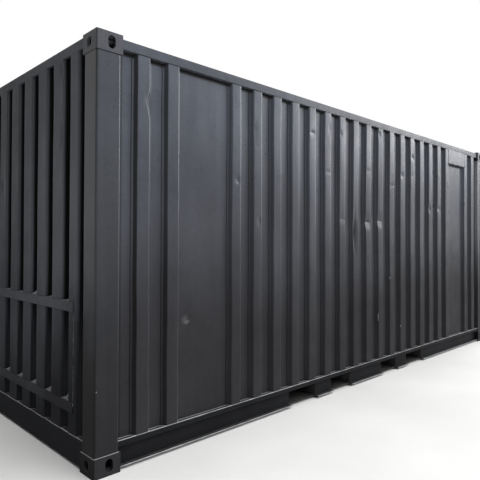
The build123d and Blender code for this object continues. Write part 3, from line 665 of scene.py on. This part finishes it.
# Dents: where along the sheet, at what height, half width, half height, depth, and the kind.
# A round dent is smooth; a fold is sharp across the rib, short above it and long below; and a
# crush moves the edge of a rib sideways, towards the front.
ROUND = "round"
FOLD = "fold"
CRUSH = "crush"
left_dents = [
    (-2.632, 2.232, 0.058, 0.054, 0.023, CRUSH),
    (-2.650, 2.250, 0.020, 0.060, 0.003, ROUND),
    (-2.686, 1.866, 0.013, 0.015, 0.006, ROUND),
    (-2.318, 0.832, 0.046, 0.036, 0.010, ROUND),
    (-2.296, 0.838, 0.012, 0.012, 0.009, ROUND),
    (-1.848, 1.812, 0.020, 0.017, 0.009, ROUND),
    (-1.668, 2.210, 0.026, 0.050, 0.004, ROUND),
    (-1.614, 1.518, 0.014, 0.026, 0.007, ROUND),
    (-0.925, 2.300, 0.036, 0.030, 0.005, FOLD),
    (-0.672, 2.374, 0.012, 0.030, 0.005, ROUND),
    (-0.498, 2.350, 0.018, 0.020, 0.006, ROUND),
    (-0.470, 1.572, 0.060, 0.050, 0.004, FOLD),
    (-0.252, 1.440, 0.026, 0.130, 0.020, ROUND),
    (-0.006, 1.556, 0.068, 0.085, 0.013, FOLD),
    (0.227, 1.572, 0.068, 0.080, 0.012, FOLD),
    (-0.040, 1.185, 0.022, 0.030, 0.005, ROUND),
    (0.205, 2.450, 0.018, 0.020, 0.007, ROUND),
    (0.690, 2.080, 0.024, 0.024, 0.008, ROUND),
    (0.937, 2.297, 0.022, 0.022, 0.008, ROUND),
    (0.922, 2.098, 0.022, 0.026, 0.004, ROUND),
    (-0.699, 1.985, 0.050, 0.030, 0.0014, FOLD),
    (-0.006, 2.060, 0.050, 0.030, 0.0014, FOLD),
    (0.466, 1.950, 0.050, 0.030, 0.0014, FOLD),
    (1.340, 1.032, 0.024, 0.036, 0.009, ROUND),
    (1.366, 1.750, 0.030, 0.040, 0.008, ROUND),
    (1.615, 1.762, 0.030, 0.050, 0.007, FOLD),
    (1.954, 1.737, 0.026, 0.026, 0.008, ROUND),
    (0.060, 1.650, 0.420, 0.420, 0.010, ROUND),
]
right_dents = [
    (-1.950, 1.420, 0.300, 0.350, 0.008, ROUND),
    (-0.690, 0.900, 0.024, 0.030, 0.009, ROUND),
    (0.700, 1.920, 0.020, 0.050, 0.010, ROUND),
    (1.180, 1.300, 0.036, 0.080, 0.014, FOLD),
    (2.120, 1.150, 0.030, 0.026, 0.006, ROUND),
]
front_dents = [
    (-0.757, 2.460, 0.018, 0.040, 0.008, ROUND),
    (-0.764, 2.030, 0.018, 0.110, 0.010, ROUND),
    (-0.764, 1.560, 0.016, 0.080, 0.006, ROUND),
    (0.240, 1.780, 0.030, 0.060, 0.007, ROUND),
]


# How far from the welds the wave and the dents reach their full depth
WAVE_FADE = 0.12
DENT_FADE = 0.015


def dented(dents, seed, ends, levels, wave=0.0019):
    """How far a point of a sheet is moved along it and into it: by its dents, and by a faint
    wave that dies out at the welds. `ends` and `levels` say where the sheet stops."""
    def push(along, level):
        aside = inwards = 0.0
        for place, height, wide, tall, deep, kind in dents:
            a = (along - place) / wide
            b = (level - height) / tall
            if abs(a) > 3 or abs(b) > 3:
                continue
            if kind == FOLD:
                inwards += deep * max(0.0, 1 - abs(b) * (1 if b < 0 else 1.7)) * exp(-a ** 4)
            elif kind == CRUSH:
                aside -= deep * exp(-a * a - b * b)
            else:
                inwards += deep * exp(-a * a - b * b)
        edge = min(along - ends[0], ends[1] - along, level - levels[0], levels[1] - level)
        fade = min(1.0, max(0.0, edge / WAVE_FADE))
        ripple = noise.noise(Vector((along * 1.9, level * 1.1, seed))) + 0.3
        ripple += 1.1 * noise.noise(Vector((along * 9.0, level * 1.7, seed + 7)))
        held = min(1.0, max(0.0, edge / DENT_FADE))
        drift = 2.4 * wave * noise.noise(Vector((along * 2.3, level * 2.6, seed + 3)))
        return aside * held + drift * fade, inwards * held + wave * fade * ripple
    return push


# Side walls

def rib_centres():
    """Rib centres along a side wall, measured from its middle."""
    first = -(MIDDLE_RIBS - 1) / 2 * RIB_PITCH
    middle = [first + i * RIB_PITCH for i in range(MIDDLE_RIBS)]
    inner = first - WIDE_FLAT_STEP
    outer = inner - END_RIB_STEP
    return [outer, inner] + middle + [-inner, -outer]


def side_line():
    """The outer face of a side wall in plan, as (along, depth) pairs."""
    half = RIB_FACE / 2
    line = [(wall_low.x, RIB_DEPTH)]
    for x in rib_centres():
        line += [(x - half - RIB_SLOPE, RIB_DEPTH), (x - half, 0)]
        line += [(x + half, 0), (x + half + RIB_SLOPE, RIB_DEPTH)]
    line.append((wall_high.x, RIB_DEPTH))
    return [Vector(point) for point in line]


def crowned(line):
    """The line with the faces of the ribs slightly bulged, so that light rolls over them."""
    result = []
    for point in line:
        offset = min(abs(point.x - centre) for centre in rib_centres())
        bulge = RIB_CROWN * (offset / (RIB_FACE / 2)) ** 2 if point.y < RIB_CROWN else 0.0
        result.append(Vector((point.x, max(point.y, bulge))))
    return result


def on_side(side, x, depth, z):
    """A point of a side wall, at a depth behind the faces of its ribs; `side` is -1 for the
    left wall and 1 for the right."""
    return Vector((x, side * (-SIDE_FACE - depth), z))


def make_side_wall(name, side, dents, seed):
    """One side wall, with its mesh closer near the small dents."""
    small = [dent for dent in dents if dent[2] < 0.1]
    line = divided(pressed(side_line()), spacing=0.030, near=[dent[0] for dent in small],
                   reach=0.038, fine=0.0125)
    levels = rows(wall_low.z, wall_high.z, spacing=0.078, near=[dent[1] for dent in small],
                  reach=0.045, fine=0.020)
    levels += [dent[1] + lift for dent in dents if dent[5] == FOLD for lift in (-CREASE, CREASE)]
    levels.sort()

    def place(along, depth, level):
        return on_side(side, along, depth, level)

    push = dented(dents, seed, (wall_low.x, wall_high.x), (wall_low.z, wall_high.z))
    pressed_sheet(name, crowned(line), levels, place, push, wall_paint)


make_side_wall("left_side_wall", -1, left_dents, 1.0)
make_side_wall("right_side_wall", 1, right_dents, 5.0)


# Front wall

def end_gap_centres():
    """Centres of the grooves between the faces of the front wall."""
    return [(i - (END_GAPS - 1) / 2) * END_PITCH for i in range(END_GAPS)]


def end_line():
    """The outer face of the front wall in plan, as (along, depth) pairs."""
    half = END_GAP / 2
    edge = END_PITCH * (END_GAPS - 1) / 2 + half + END_LAST_FACE
    line = [(front_low.y, END_DEPTH), (-edge - END_SLOPE, END_DEPTH), (-edge, 0)]
    for y in end_gap_centres():
        line += [(y - half, 0), (y - half + END_SLOPE, END_DEPTH)]
        line += [(y + half - END_SLOPE, END_DEPTH), (y + half, 0)]
    line += [(edge, 0), (edge + END_SLOPE, END_DEPTH), (front_high.y, END_DEPTH)]
    return [Vector(point) for point in line]


def make_front_wall():
    """The front wall, with its mesh closer near its dents."""
    line = divided(pressed(end_line()), spacing=0.022, near=[dent[0] for dent in front_dents],
                   reach=0.04, fine=0.009)
    levels = rows(front_low.z, front_high.z, spacing=0.075,
                  near=[dent[1] for dent in front_dents], reach=0.08, fine=0.018)

    def place(along, depth, level):
        return (END_FACE + depth, along, level)

    push = dented(front_dents, 9.0, (front_low.y, front_high.y), (front_low.z, front_high.z),
                  wave=0.0012)
    pressed_sheet("front_wall", line, levels, place, push, end_paint)


make_front_wall()


# Pieces whose sharp edges only need rounding, with the radius of each
edge_radii = for_both_sides({
    "*_top_rail": 0.005, "front_top_rail": 0.006, "*_bottom_rail": 0.0018, "front_sill": 0.006,
    "*_front_post": 0.007, "*_rear_post": 0.005, "front_middle_bar": 0.002,
    "front_lower_bar": 0.0015, "marking_plates": 0.001, "fork_pocket_sides": 0.0015,
    "fork_pocket_tops": 0.001, "fork_pocket_straps": 0.002, "cross_members": 0.0015,
    "floor_boards": 0.002, "roof_corner_plates": 0.001, "door_header": 0.0018,
    "door_sill": 0.0018, "*_door_frame": 0.004, "*_door_gasket": 0.003, "locking_rods": 0.003,
    "cam_keepers": 0.002, "rod_guides": 0.0015, "rod_handles": 0.002, "handle_catches": 0.002,
    "*_door_hinges": 0.002, "*_hinge_lugs": 0.0015,
})
FITTING_RADIUS = 0.0025
edge_radii |= {name: FITTING_RADIUS for name in nodes if name.endswith("_fitting")}
for node_name, radius in edge_radii.items():
    soften(node_name, radius)


# Roof sheet

ROOF_TROUGH_END = 0.060
ROOF_LAP = 0.048
ROOF_RUN_OUT = 0.024
ROOF_STEP = 0.09


def roof_line():
    """The top of the roof sheet along the roof, as (along, drop) pairs."""
    middle = (roof_low.x + roof_high.x) / 2
    half = ROOF_TROUGH / 2
    line = [(roof_low.x, 0)]
    for i in range(ROOF_TROUGHS):
        x = middle + (i - (ROOF_TROUGHS - 1) / 2) * ROOF_PITCH
        line += [(x - half - ROOF_SLOPE, 0), (x - half, ROOF_DEPTH)]
        line += [(x + half, ROOF_DEPTH), (x + half + ROOF_SLOPE, 0)]
    line.append((roof_high.x, 0))
    return rounded([Vector(point) for point in line], [TIGHT_BEND])


def make_roof():
    """A sheet whose troughs run out before the rails, notched round the top fittings."""
    line = roof_line()
    trough_half = roof_high.y - ROOF_LAP - ROOF_TROUGH_END
    notch_x = cad_box[1][0] - FITTING_LENGTH
    notch_y = cad_box[1][1] - FITTING_WIDTH
    ends = [trough_half - ROOF_RUN_OUT * step / 3 for step in range(4)] + [notch_y, roof_high.y]
    across = sorted([-y for y in ends] + [i * ROOF_STEP for i in range(-11, 12)] + ends)
    wave = dented([], 13.0, (roof_low.x, roof_high.x), (-trough_half, trough_half), wave=0.0045)
    top, low = [], []
    for flat in line:
        for y in across:
            end = min(1.0, max(0.0, (trough_half - abs(y)) / ROOF_RUN_OUT))
            end = end * end * (3 - 2 * end)
            sag = wave(flat.x, y)[1] * end
            z = roof_high.z - flat.y * end - max(0.0, sag)
            top.append((flat.x, y, z))
            low.append((flat.x, y, z - SHEET))
    notches = {(i, j) for i in range(len(line) - 1) for j in range(len(across) - 1)
               if abs(line[i].x + line[i + 1].x) / 2 > notch_x
               and abs(across[j] + across[j + 1]) / 2 > notch_y}
    piece = new_piece("roof_sheet_pressed", top + low, slab(len(line), len(across), notches))
    finish_piece(piece, "painted_steel", stands_for=["roof_sheet"])


make_roof()


# Door panels

def make_door_panel(name, seed):
    """A door's pressed panel, with its troughs across the door."""
    low, high = corners(name)
    pitch = (high.z - low.z) / DOOR_TROUGHS
    line = [(low.z, 0)]
    for i in range(DOOR_TROUGHS):
        bottom = low.z + (i + 0.5) * pitch - DOOR_TROUGH_FLOOR / 2
        top = bottom + DOOR_TROUGH_FLOOR
        line += [(bottom - DOOR_TROUGH_SLOPE, 0), (bottom, DOOR_TROUGH_DEPTH)]
        line += [(top, DOOR_TROUGH_DEPTH), (top + DOOR_TROUGH_SLOPE, 0)]
    line.append((high.z, 0))
    line = divided(rounded([Vector(point) for point in line], [TIGHT_BEND]), spacing=0.05)

    def place(along, depth, level):
        return (high.x - depth, level, along)

    push = dented([], seed, (low.z, high.z), (low.y, high.y), wave=0.0014)
    levels = rows(low.y, high.y, spacing=0.06)
    pressed_sheet(name, line, levels, place, push)


make_door_panel("left_door_panel", 21.0)
make_door_panel("right_door_panel", 24.0)


# Welds

def skin(rings, sides):
    """Faces that join rings of points to each other and close both ends."""
    faces = []
    for base in range(0, (rings - 1) * sides, sides):
        for k in range(sides):
            after = (k + 1) % sides
            faces.append((base + k, base + after, base + sides + after, base + sides + k))
    last = (rings - 1) * sides
    return faces + [tuple(range(sides))[::-1], tuple(range(last, last + sides))]


def joined(name, parts, material=None, slot="painted_steel"):
    """One piece, with its finish, from several lots of points and faces."""
    points, faces = [], []
    for more_points, more_faces in parts:
        start = len(points)
        points += more_points
        faces += [tuple(start + index for index in face) for face in more_faces]
    finish_piece(new_piece(name, points, faces), slot, material)


def stepped(points, spacing):
    """A line through points, with more points between them."""
    result = [points[0]]
    for start, end in zip(points, points[1:]):
        count = max(1, round((end - start).length / spacing))
        result += [start.lerp(end, (i + 1) / count) for i in range(count)]
    return result


BEAD_SIDES = 6


def bead(points, radius, spacing=0.02, wobble=0.2):
    """Points and faces of a bead along a line through points, with an uneven thickness."""
    line = stepped([Vector(point) for point in points], spacing)
    made = []
    spoke = None
    for i, point in enumerate(line):
        along = (line[min(i + 1, len(line) - 1)] - line[max(i - 1, 0)]).normalized()
        spoke = spoke or along.orthogonal()
        spoke = (spoke - along * spoke.dot(along)).normalized()
        side = along.cross(spoke)
        size = radius * (1 + wobble * noise.noise(point * 70))
        for k in range(BEAD_SIDES):
            turn = 2 * pi * k / BEAD_SIDES
            made.append(point + (spoke * cos(turn) + side * sin(turn)) * size)
    return made, skin(len(line), BEAD_SIDES)


def make_foot_welds():
    """Welds along the feet of the side walls and the front wall."""
    level = wall_low.z
    lines = [[on_side(side, p.x, p.y, level) for p in pressed(side_line())] for side in SIDES]
    lines.append([(END_FACE + p.y, p.x, level) for p in pressed(end_line())])
    feet = [bead(line, radius=0.0032, spacing=0.03) for line in lines]
    joined("wall_foot_welds", feet, weld_paint)


# The flange of the bottom rails, and where it is cut for the fork pockets
FLANGE_STEEL = 0.0045
POCKET_EDGES = (-1.205, -0.845, -0.6025, -0.2975, 0.2975, 0.6025, 0.845, 1.205)


def make_rail_dust_and_highlight():
    """Dust and a painted highlight along the lips of the bottom rails, and along the rest of their
    flanges.
    """
    flange = corners("left_bottom_rail")[0].z + FLANGE_STEEL
    stops = [wall_low.x, *POCKET_EDGES, wall_high.x]
    lines = []
    for side in SIDES:
        lip = [on_side(side, x, 0.001, wall_low.z) for x in (wall_low.x, wall_high.x)]
        lines.append(bead(lip, radius=0.0030, spacing=0.05, wobble=0.5))
        for stretch in zip(stops[::2], stops[1::2]):
            run = [on_side(side, x, 0.001, flange) for x in stretch]
            lines.append(bead(run, radius=0.0034, spacing=0.04, wobble=0.6))
    joined("rail_lip_dust_and_highlight", lines, lip_dust_and_highlight_paint)


def make_roof_seams():
    """Seams between the top rails and the roof sheet."""
    end = cad_box[1][0] - FITTING_LENGTH
    level = corners("left_top_rail")[1].z
    seams = [bead([(-end, side * roof_high.y, level), (end, side * roof_high.y, level)],
                  radius=0.0022, spacing=0.03) for side in SIDES]
    joined("frame_welds", seams, post_paint)


# How far the seams at the fittings lie inside the outer faces, and how wide they run in front
FITTING_INSET = 0.004
FITTING_SEAM = 0.150


def fitting_seam(side, level):
    """The seam between a front post and a corner fitting, round the outer corner."""
    front = cad_box[0][0] + FITTING_INSET
    y = side * (cad_box[1][1] - FITTING_INSET)
    return bead([(wall_low.x, y, level), (front + 0.002, y, level),
                 (front, y - side * 0.002, level), (front, y - side * FITTING_SEAM, level)],
                radius=0.0036)


def make_bottom_fitting_welds():
    """Welds between the front posts and the bottom fittings."""
    seams = [fitting_seam(side, FITTING_HEIGHT) for side in SIDES]
    joined("bottom_fitting_welds", seams, weld_paint)


# Scratches near the corner of the front wall: from what height to what height, and how thick
FRONT_SCRATCH_Y = -0.942
FRONT_SCRATCHES = [(0.385, 0.600, 0.0010), (0.660, 0.900, 0.0009), (0.350, 0.372, 0.0028),
                   (0.748, 0.766, 0.0028)]


def make_front_scratches():
    x = END_FACE + 0.0005
    scratches = [bead([(x, FRONT_SCRATCH_Y, low), (x, FRONT_SCRATCH_Y, high)], radius, wobble=0.9)
                 for low, high, radius in FRONT_SCRATCHES]
    joined("front_scratches", scratches, weld_paint)


def plate_foot_shadow(side):
    """The dark, ragged foot of the flush plate at the right-hand end of a side, as a painted
    shadow.
    """
    low, high = corners("marking_plates")
    centre = -side * (rib_centres()[-2] + rib_centres()[-3]) / 2
    reach = high.x - abs(centre)
    level = low.z - 0.006
    ends = [on_side(side, x, 0.004, level) for x in (centre - reach, centre + reach)]
    return bead(ends, radius=0.0095, spacing=0.012, wobble=0.9)


def make_gaps_and_painted_shadows():
    """Dark seams beside the front posts, under the top rails, under the top fittings and at the
    feet
    of the flush plates: dark joint gaps, and painted shadows where the parts above shade them."""
    seams = []
    for side in SIDES:
        shade_beside_post = [on_side(side, wall_low.x, RIB_DEPTH, z) for z in (wall_low.z, wall_high.z)]
        shade_under_rail = [on_side(side, p.x, p.y, wall_high.z - 0.001) for p in pressed(side_line())]
        seams += [bead(shade_beside_post, radius=0.0035),
                  bead(shade_under_rail, radius=0.0026, spacing=0.03),
                  fitting_seam(side, cad_box[1][2] - FITTING_HEIGHT)]
    seams += [plate_foot_shadow(side) for side in SIDES]
    joined("gaps_and_painted_shadows", seams, gap_shadow_and_hole_paint)


def make_door_panel_welds():
    """Welds round the panels of the doors."""
    rings = []
    for name in ("left_door_panel", "right_door_panel"):
        low, high = corners(name)
        ring = ((low.y, low.z), (high.y, low.z), (high.y, high.z), (low.y, high.z), (low.y, low.z))
        rings.append(bead([(high.x - 0.001, y, z) for y, z in ring],
                          radius=0.0026, spacing=0.025))
    joined("door_panel_welds", rings)


make_foot_welds()
make_rail_dust_and_highlight()
make_roof_seams()
make_bottom_fitting_welds()
make_front_scratches()
make_gaps_and_painted_shadows()
make_door_panel_welds()


# Chips in the paint, and small plugged holes

FLECK_SIDES = 9
FLECK_THICKNESS = 0.003


def fleck(place, wide, tall):
    """Points and faces of a thin oval fleck on the left wall, with a ragged rim."""
    points = []
    for lift, shrink in ((0.0, 1.0), (FLECK_THICKNESS, 0.6)):
        for k in range(FLECK_SIDES):
            turn = 2 * pi * k / FLECK_SIDES
            size = shrink * (1 + 0.35 * noise.noise(place * 90 + Vector((k, 0, 0))))
            points.append(place + Vector((wide * size * cos(turn), lift, tall * size * sin(turn))))
    return points, skin(2, FLECK_SIDES)


# Where along the left wall, at what height, how deep behind the ribs, half width, half height
CHIPS = [(0.178, 0.600, 0.0, 0.004, 0.045), (0.653, 0.460, 0.0, 0.008, 0.010),
         (1.132, 0.869, 0.0, 0.008, 0.012), (0.418, 0.983, 0.0, 0.007, 0.010),
         (-2.693, 0.081, 0.035, 0.008, 0.008), (-1.173, 2.214, 0.0, 0.003, 0.050),
         (-3.013, 0.499, -0.0115, 0.004, 0.004)]
HOLES = [(-1.507, 2.049, RIB_DEPTH, 0.007, 0.007), (-1.507, 2.160, RIB_DEPTH, 0.006, 0.006),
         (-0.825, 1.911, RIB_DEPTH, 0.007, 0.006), (-0.818, 1.815, RIB_DEPTH, 0.009, 0.006),
         (1.969, 0.442, RIB_DEPTH, 0.012, 0.009),
         (-2.844, 2.300, RIB_DEPTH, 0.006, 0.007), (-2.844, 2.100, RIB_DEPTH, 0.005, 0.006)]
for piece_name, spots, finish in (("paint_chips", CHIPS, weld_paint),
                                  ("plugged_holes", HOLES, gap_shadow_and_hole_paint)):
    flecks = [fleck(on_side(-1, x, depth + 0.001, z), wide, tall)
              for x, z, depth, wide, tall in spots]
    joined(piece_name, flecks, finish)


# Dirt on the bars of the front wall

HEAP_GAP = 0.0015


def heap(y, level, tall, seed):
    """Points and faces of a heap that fills a groove, highest at its low-Y side."""
    across, deep = 10, 5
    points = []
    for j in range(deep + 1):
        v = j / deep
        half = END_GAP / 2 - END_SLOPE * v - 0.001
        x = END_FACE + HEAP_GAP + (END_DEPTH - 2 * HEAP_GAP) * v
        for i in range(across + 1):
            u = i / across
            lump = noise.noise(Vector((u * 3.1, v * 2.3, seed)))
            rise = tall * (1 - u) ** 1.4 * (0.25 + 0.75 * v) * (1 + 0.5 * lump)
            rise += 0.002 + 0.003 * lump
            points.append(Vector((x, y - half + 2 * half * u, level + max(0.0008, rise))))
    points += [Vector((point.x, point.y, level + 0.0002)) for point in points]
    return points, slab(deep + 1, across + 1)


LOWER_HEAPS = (0.088, 0.092, 0.078, 0.074, 0.066, 0.056, 0.044, 0.050)
MIDDLE_HEAPS = (0.020, 0.034, 0.078, 0.022, 0.018, 0.014, 0.024, 0.010)
heaps = []
for bar, heights in (("front_lower_bar", LOWER_HEAPS), ("front_middle_bar", MIDDLE_HEAPS)):
    for y, tall in zip(end_gap_centres(), heights):
        heaps.append(heap(y, corners(bar)[1].z, tall, 10 * tall + y))
joined("dirt_on_the_bars", heaps, dust_material)


# Bolts and rivets of the door gear

def stud(place, radius, height, sides=6):
    """Points and faces of a bolt head that stands off a face towards the doors' side."""
    points = []
    for lift, share in ((-0.001, 1.0), (height * 0.75, 1.0), (height, 0.82)):
        size = radius * share
        for k in range(sides):
            turn = 2 * pi * k / sides
            points.append(place + Vector((lift, size * cos(turn), size * sin(turn))))
    return points, skin(3, sides)


ROD_FROM_EDGE = 0.300
ROD_FROM_MEETING = 0.180
GUIDE_WIDTH = 0.100
GUIDE_STEEL = 0.006
GUIDE_BOLT_INSET = 0.011
GUIDE_BOLT_LIFT = 0.013
HINGE_STEEL = 0.010
HINGES = 4
HINGE_RIVETS = (0.060, 0.095, 0.130)
HINGE_RIVET_LIFT = 0.032


def guide_bolts(face, rods, levels):
    """Two bolts in each foot of the rod guides."""
    reach = GUIDE_WIDTH / 2 - GUIDE_BOLT_INSET
    return [stud(Vector((face + GUIDE_STEEL, y + side * reach, z + lift)),
                 radius=0.0055, height=0.0045)
            for y in rods for z in levels for side in SIDES
            for lift in (-GUIDE_BOLT_LIFT, GUIDE_BOLT_LIFT)]


def hinge_rivets(face, edge, levels):
    """Two rows of rivets in each hinge blade."""
    return [stud(Vector((face + HINGE_STEEL, side * (edge - reach), z + lift)),
                 radius=0.009, height=0.006, sides=10)
            for side in SIDES for z in levels for reach in HINGE_RIVETS
            for lift in (-HINGE_RIVET_LIFT, HINGE_RIVET_LIFT)]


def make_door_bolts():
    """Bolts in the rod guides and rivets in the hinges."""
    frame_low, frame_high = corners("left_door_frame")
    panel_low, panel_high = corners("left_door_panel")
    pitch = (panel_high.z - panel_low.z) / DOOR_TROUGHS
    margin = (panel_low.z - frame_low.z) / 2
    guides = [frame_low.z + margin, panel_low.z + pitch, panel_high.z - pitch,
              frame_high.z - margin]
    rods = [frame_low.y + ROD_FROM_EDGE, frame_high.y - ROD_FROM_MEETING]
    step = (frame_high.z - frame_low.z) / HINGES
    hinges = [frame_low.z + (i + 0.5) * step for i in range(HINGES)]
    studs = guide_bolts(frame_high.x, rods + [-y for y in rods], guides)
    studs += hinge_rivets(frame_high.x, -frame_low.y, hinges)
    joined("door_bolts", studs, slot="door_gear")


make_door_bolts()


# Camera, at the photograph's viewing angle
PHOTO_WIDTH = 480
SENSOR = 36.0
FOCAL_LENGTH = 498.48
OPTICAL_CENTRE = (212.24, 233.35)
CAMERA_PLACE = Vector((-4.4711, -3.7568, 1.3723))
HEADING = 47.187
PITCH = 0.753
ROLL = 0.239

camera_data = bpy.data.cameras.new("camera")
camera_data.sensor_width = SENSOR
camera_data.lens = SENSOR * FOCAL_LENGTH / PHOTO_WIDTH
camera_data.shift_x = 0.5 - OPTICAL_CENTRE[0] / PHOTO_WIDTH
camera_data.shift_y = OPTICAL_CENTRE[1] / PHOTO_WIDTH - 0.5
camera = placed("camera", camera_data)
camera.matrix_world = (Matrix.Translation(CAMERA_PLACE)
                       @ Matrix.Rotation(radians(HEADING - 90), 4, "Z")
                       @ Matrix.Rotation(radians(90 + PITCH), 4, "X")
                       @ Matrix.Rotation(radians(ROLL), 4, "Z"))
bpy.context.scene.camera = camera


# Floor, lamps and world

def make_floor():
    """A wide pale floor."""
    material, tree, place = new_material("pale_floor")
    colour = blend(tree, ramp(tree, grain(tree, place, 0.6, 4.0), 0.3, 0.7),
                   (0.50, 0.50, 0.495), (0.56, 0.56, 0.555))
    finished(material, tree, {"Base Color": colour, "Roughness": 0.9})
    mesh = bmesh.new()
    bmesh.ops.create_circle(mesh, cap_ends=True, segments=96, radius=60.0)
    data = bpy.data.meshes.new("floor")
    mesh.to_mesh(data)
    mesh.free()
    data.materials.append(material)
    floor = placed("floor", data)
    floor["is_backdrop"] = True


# Lamps: azimuth from +X towards +Y, elevation and width in degrees, strength, and whether
# the paint mirrors them
LAMPS = {
    "key_lamp": (-60, 56, 80, 5.0, False),
    "rim_lamp": (-26, 18.5, 22, 1.0, True),
    "edge_lamp": (8, 14, 30, 2.2, True),
    "back_lamp": (80, 45, 80, 2.2, False),
}


def soft_lamp(name, azimuth, elevation, width, strength, mirrored):
    """A wide soft lamp far away."""
    data = bpy.data.lights.new(name, "SUN")
    data.angle = radians(width)
    data.energy = strength
    lamp = placed(name, data)
    flat = cos(radians(elevation))
    towards = Vector((flat * cos(radians(azimuth)), flat * sin(radians(azimuth)),
                      sin(radians(elevation))))
    lamp.rotation_euler = towards.to_track_quat("Z", "Y").to_euler()
    lamp.visible_glossy = mirrored


WORLD_LIGHT = 0.12


def make_world():
    """Even soft light, with white where the sky is seen or mirrored."""
    world = bpy.data.worlds.new("studio")
    world.use_nodes = True
    bpy.context.scene.world = world
    tree = world.node_tree
    tree.nodes.clear()
    path = add_node(tree, "LightPath").outputs
    seen = arithmetic(tree, "MAXIMUM", path["Is Camera Ray"], path["Is Glossy Ray"])
    seen = arithmetic(tree, "MAXIMUM", seen, path["Is Transmission Ray"])
    strength = arithmetic(tree, "MULTIPLY", seen, 1 - WORLD_LIGHT)
    strength = arithmetic(tree, "ADD", strength, WORLD_LIGHT)
    light = add_node(tree, "Background", {"Color": (1, 1, 1, 1), "Strength": strength})
    tree.links.new(light.outputs[0], add_node(tree, "OutputWorld").inputs[0])


make_floor()
for lamp_name, settings in LAMPS.items():
    soft_lamp(lamp_name, *settings)
make_world()

bpy.context.scene.view_settings.view_transform = "Standard"

boxes = {"cad": cad_box, "visual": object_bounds()}
{key: [list(corner) for corner in value] for key, value in boxes.items()}
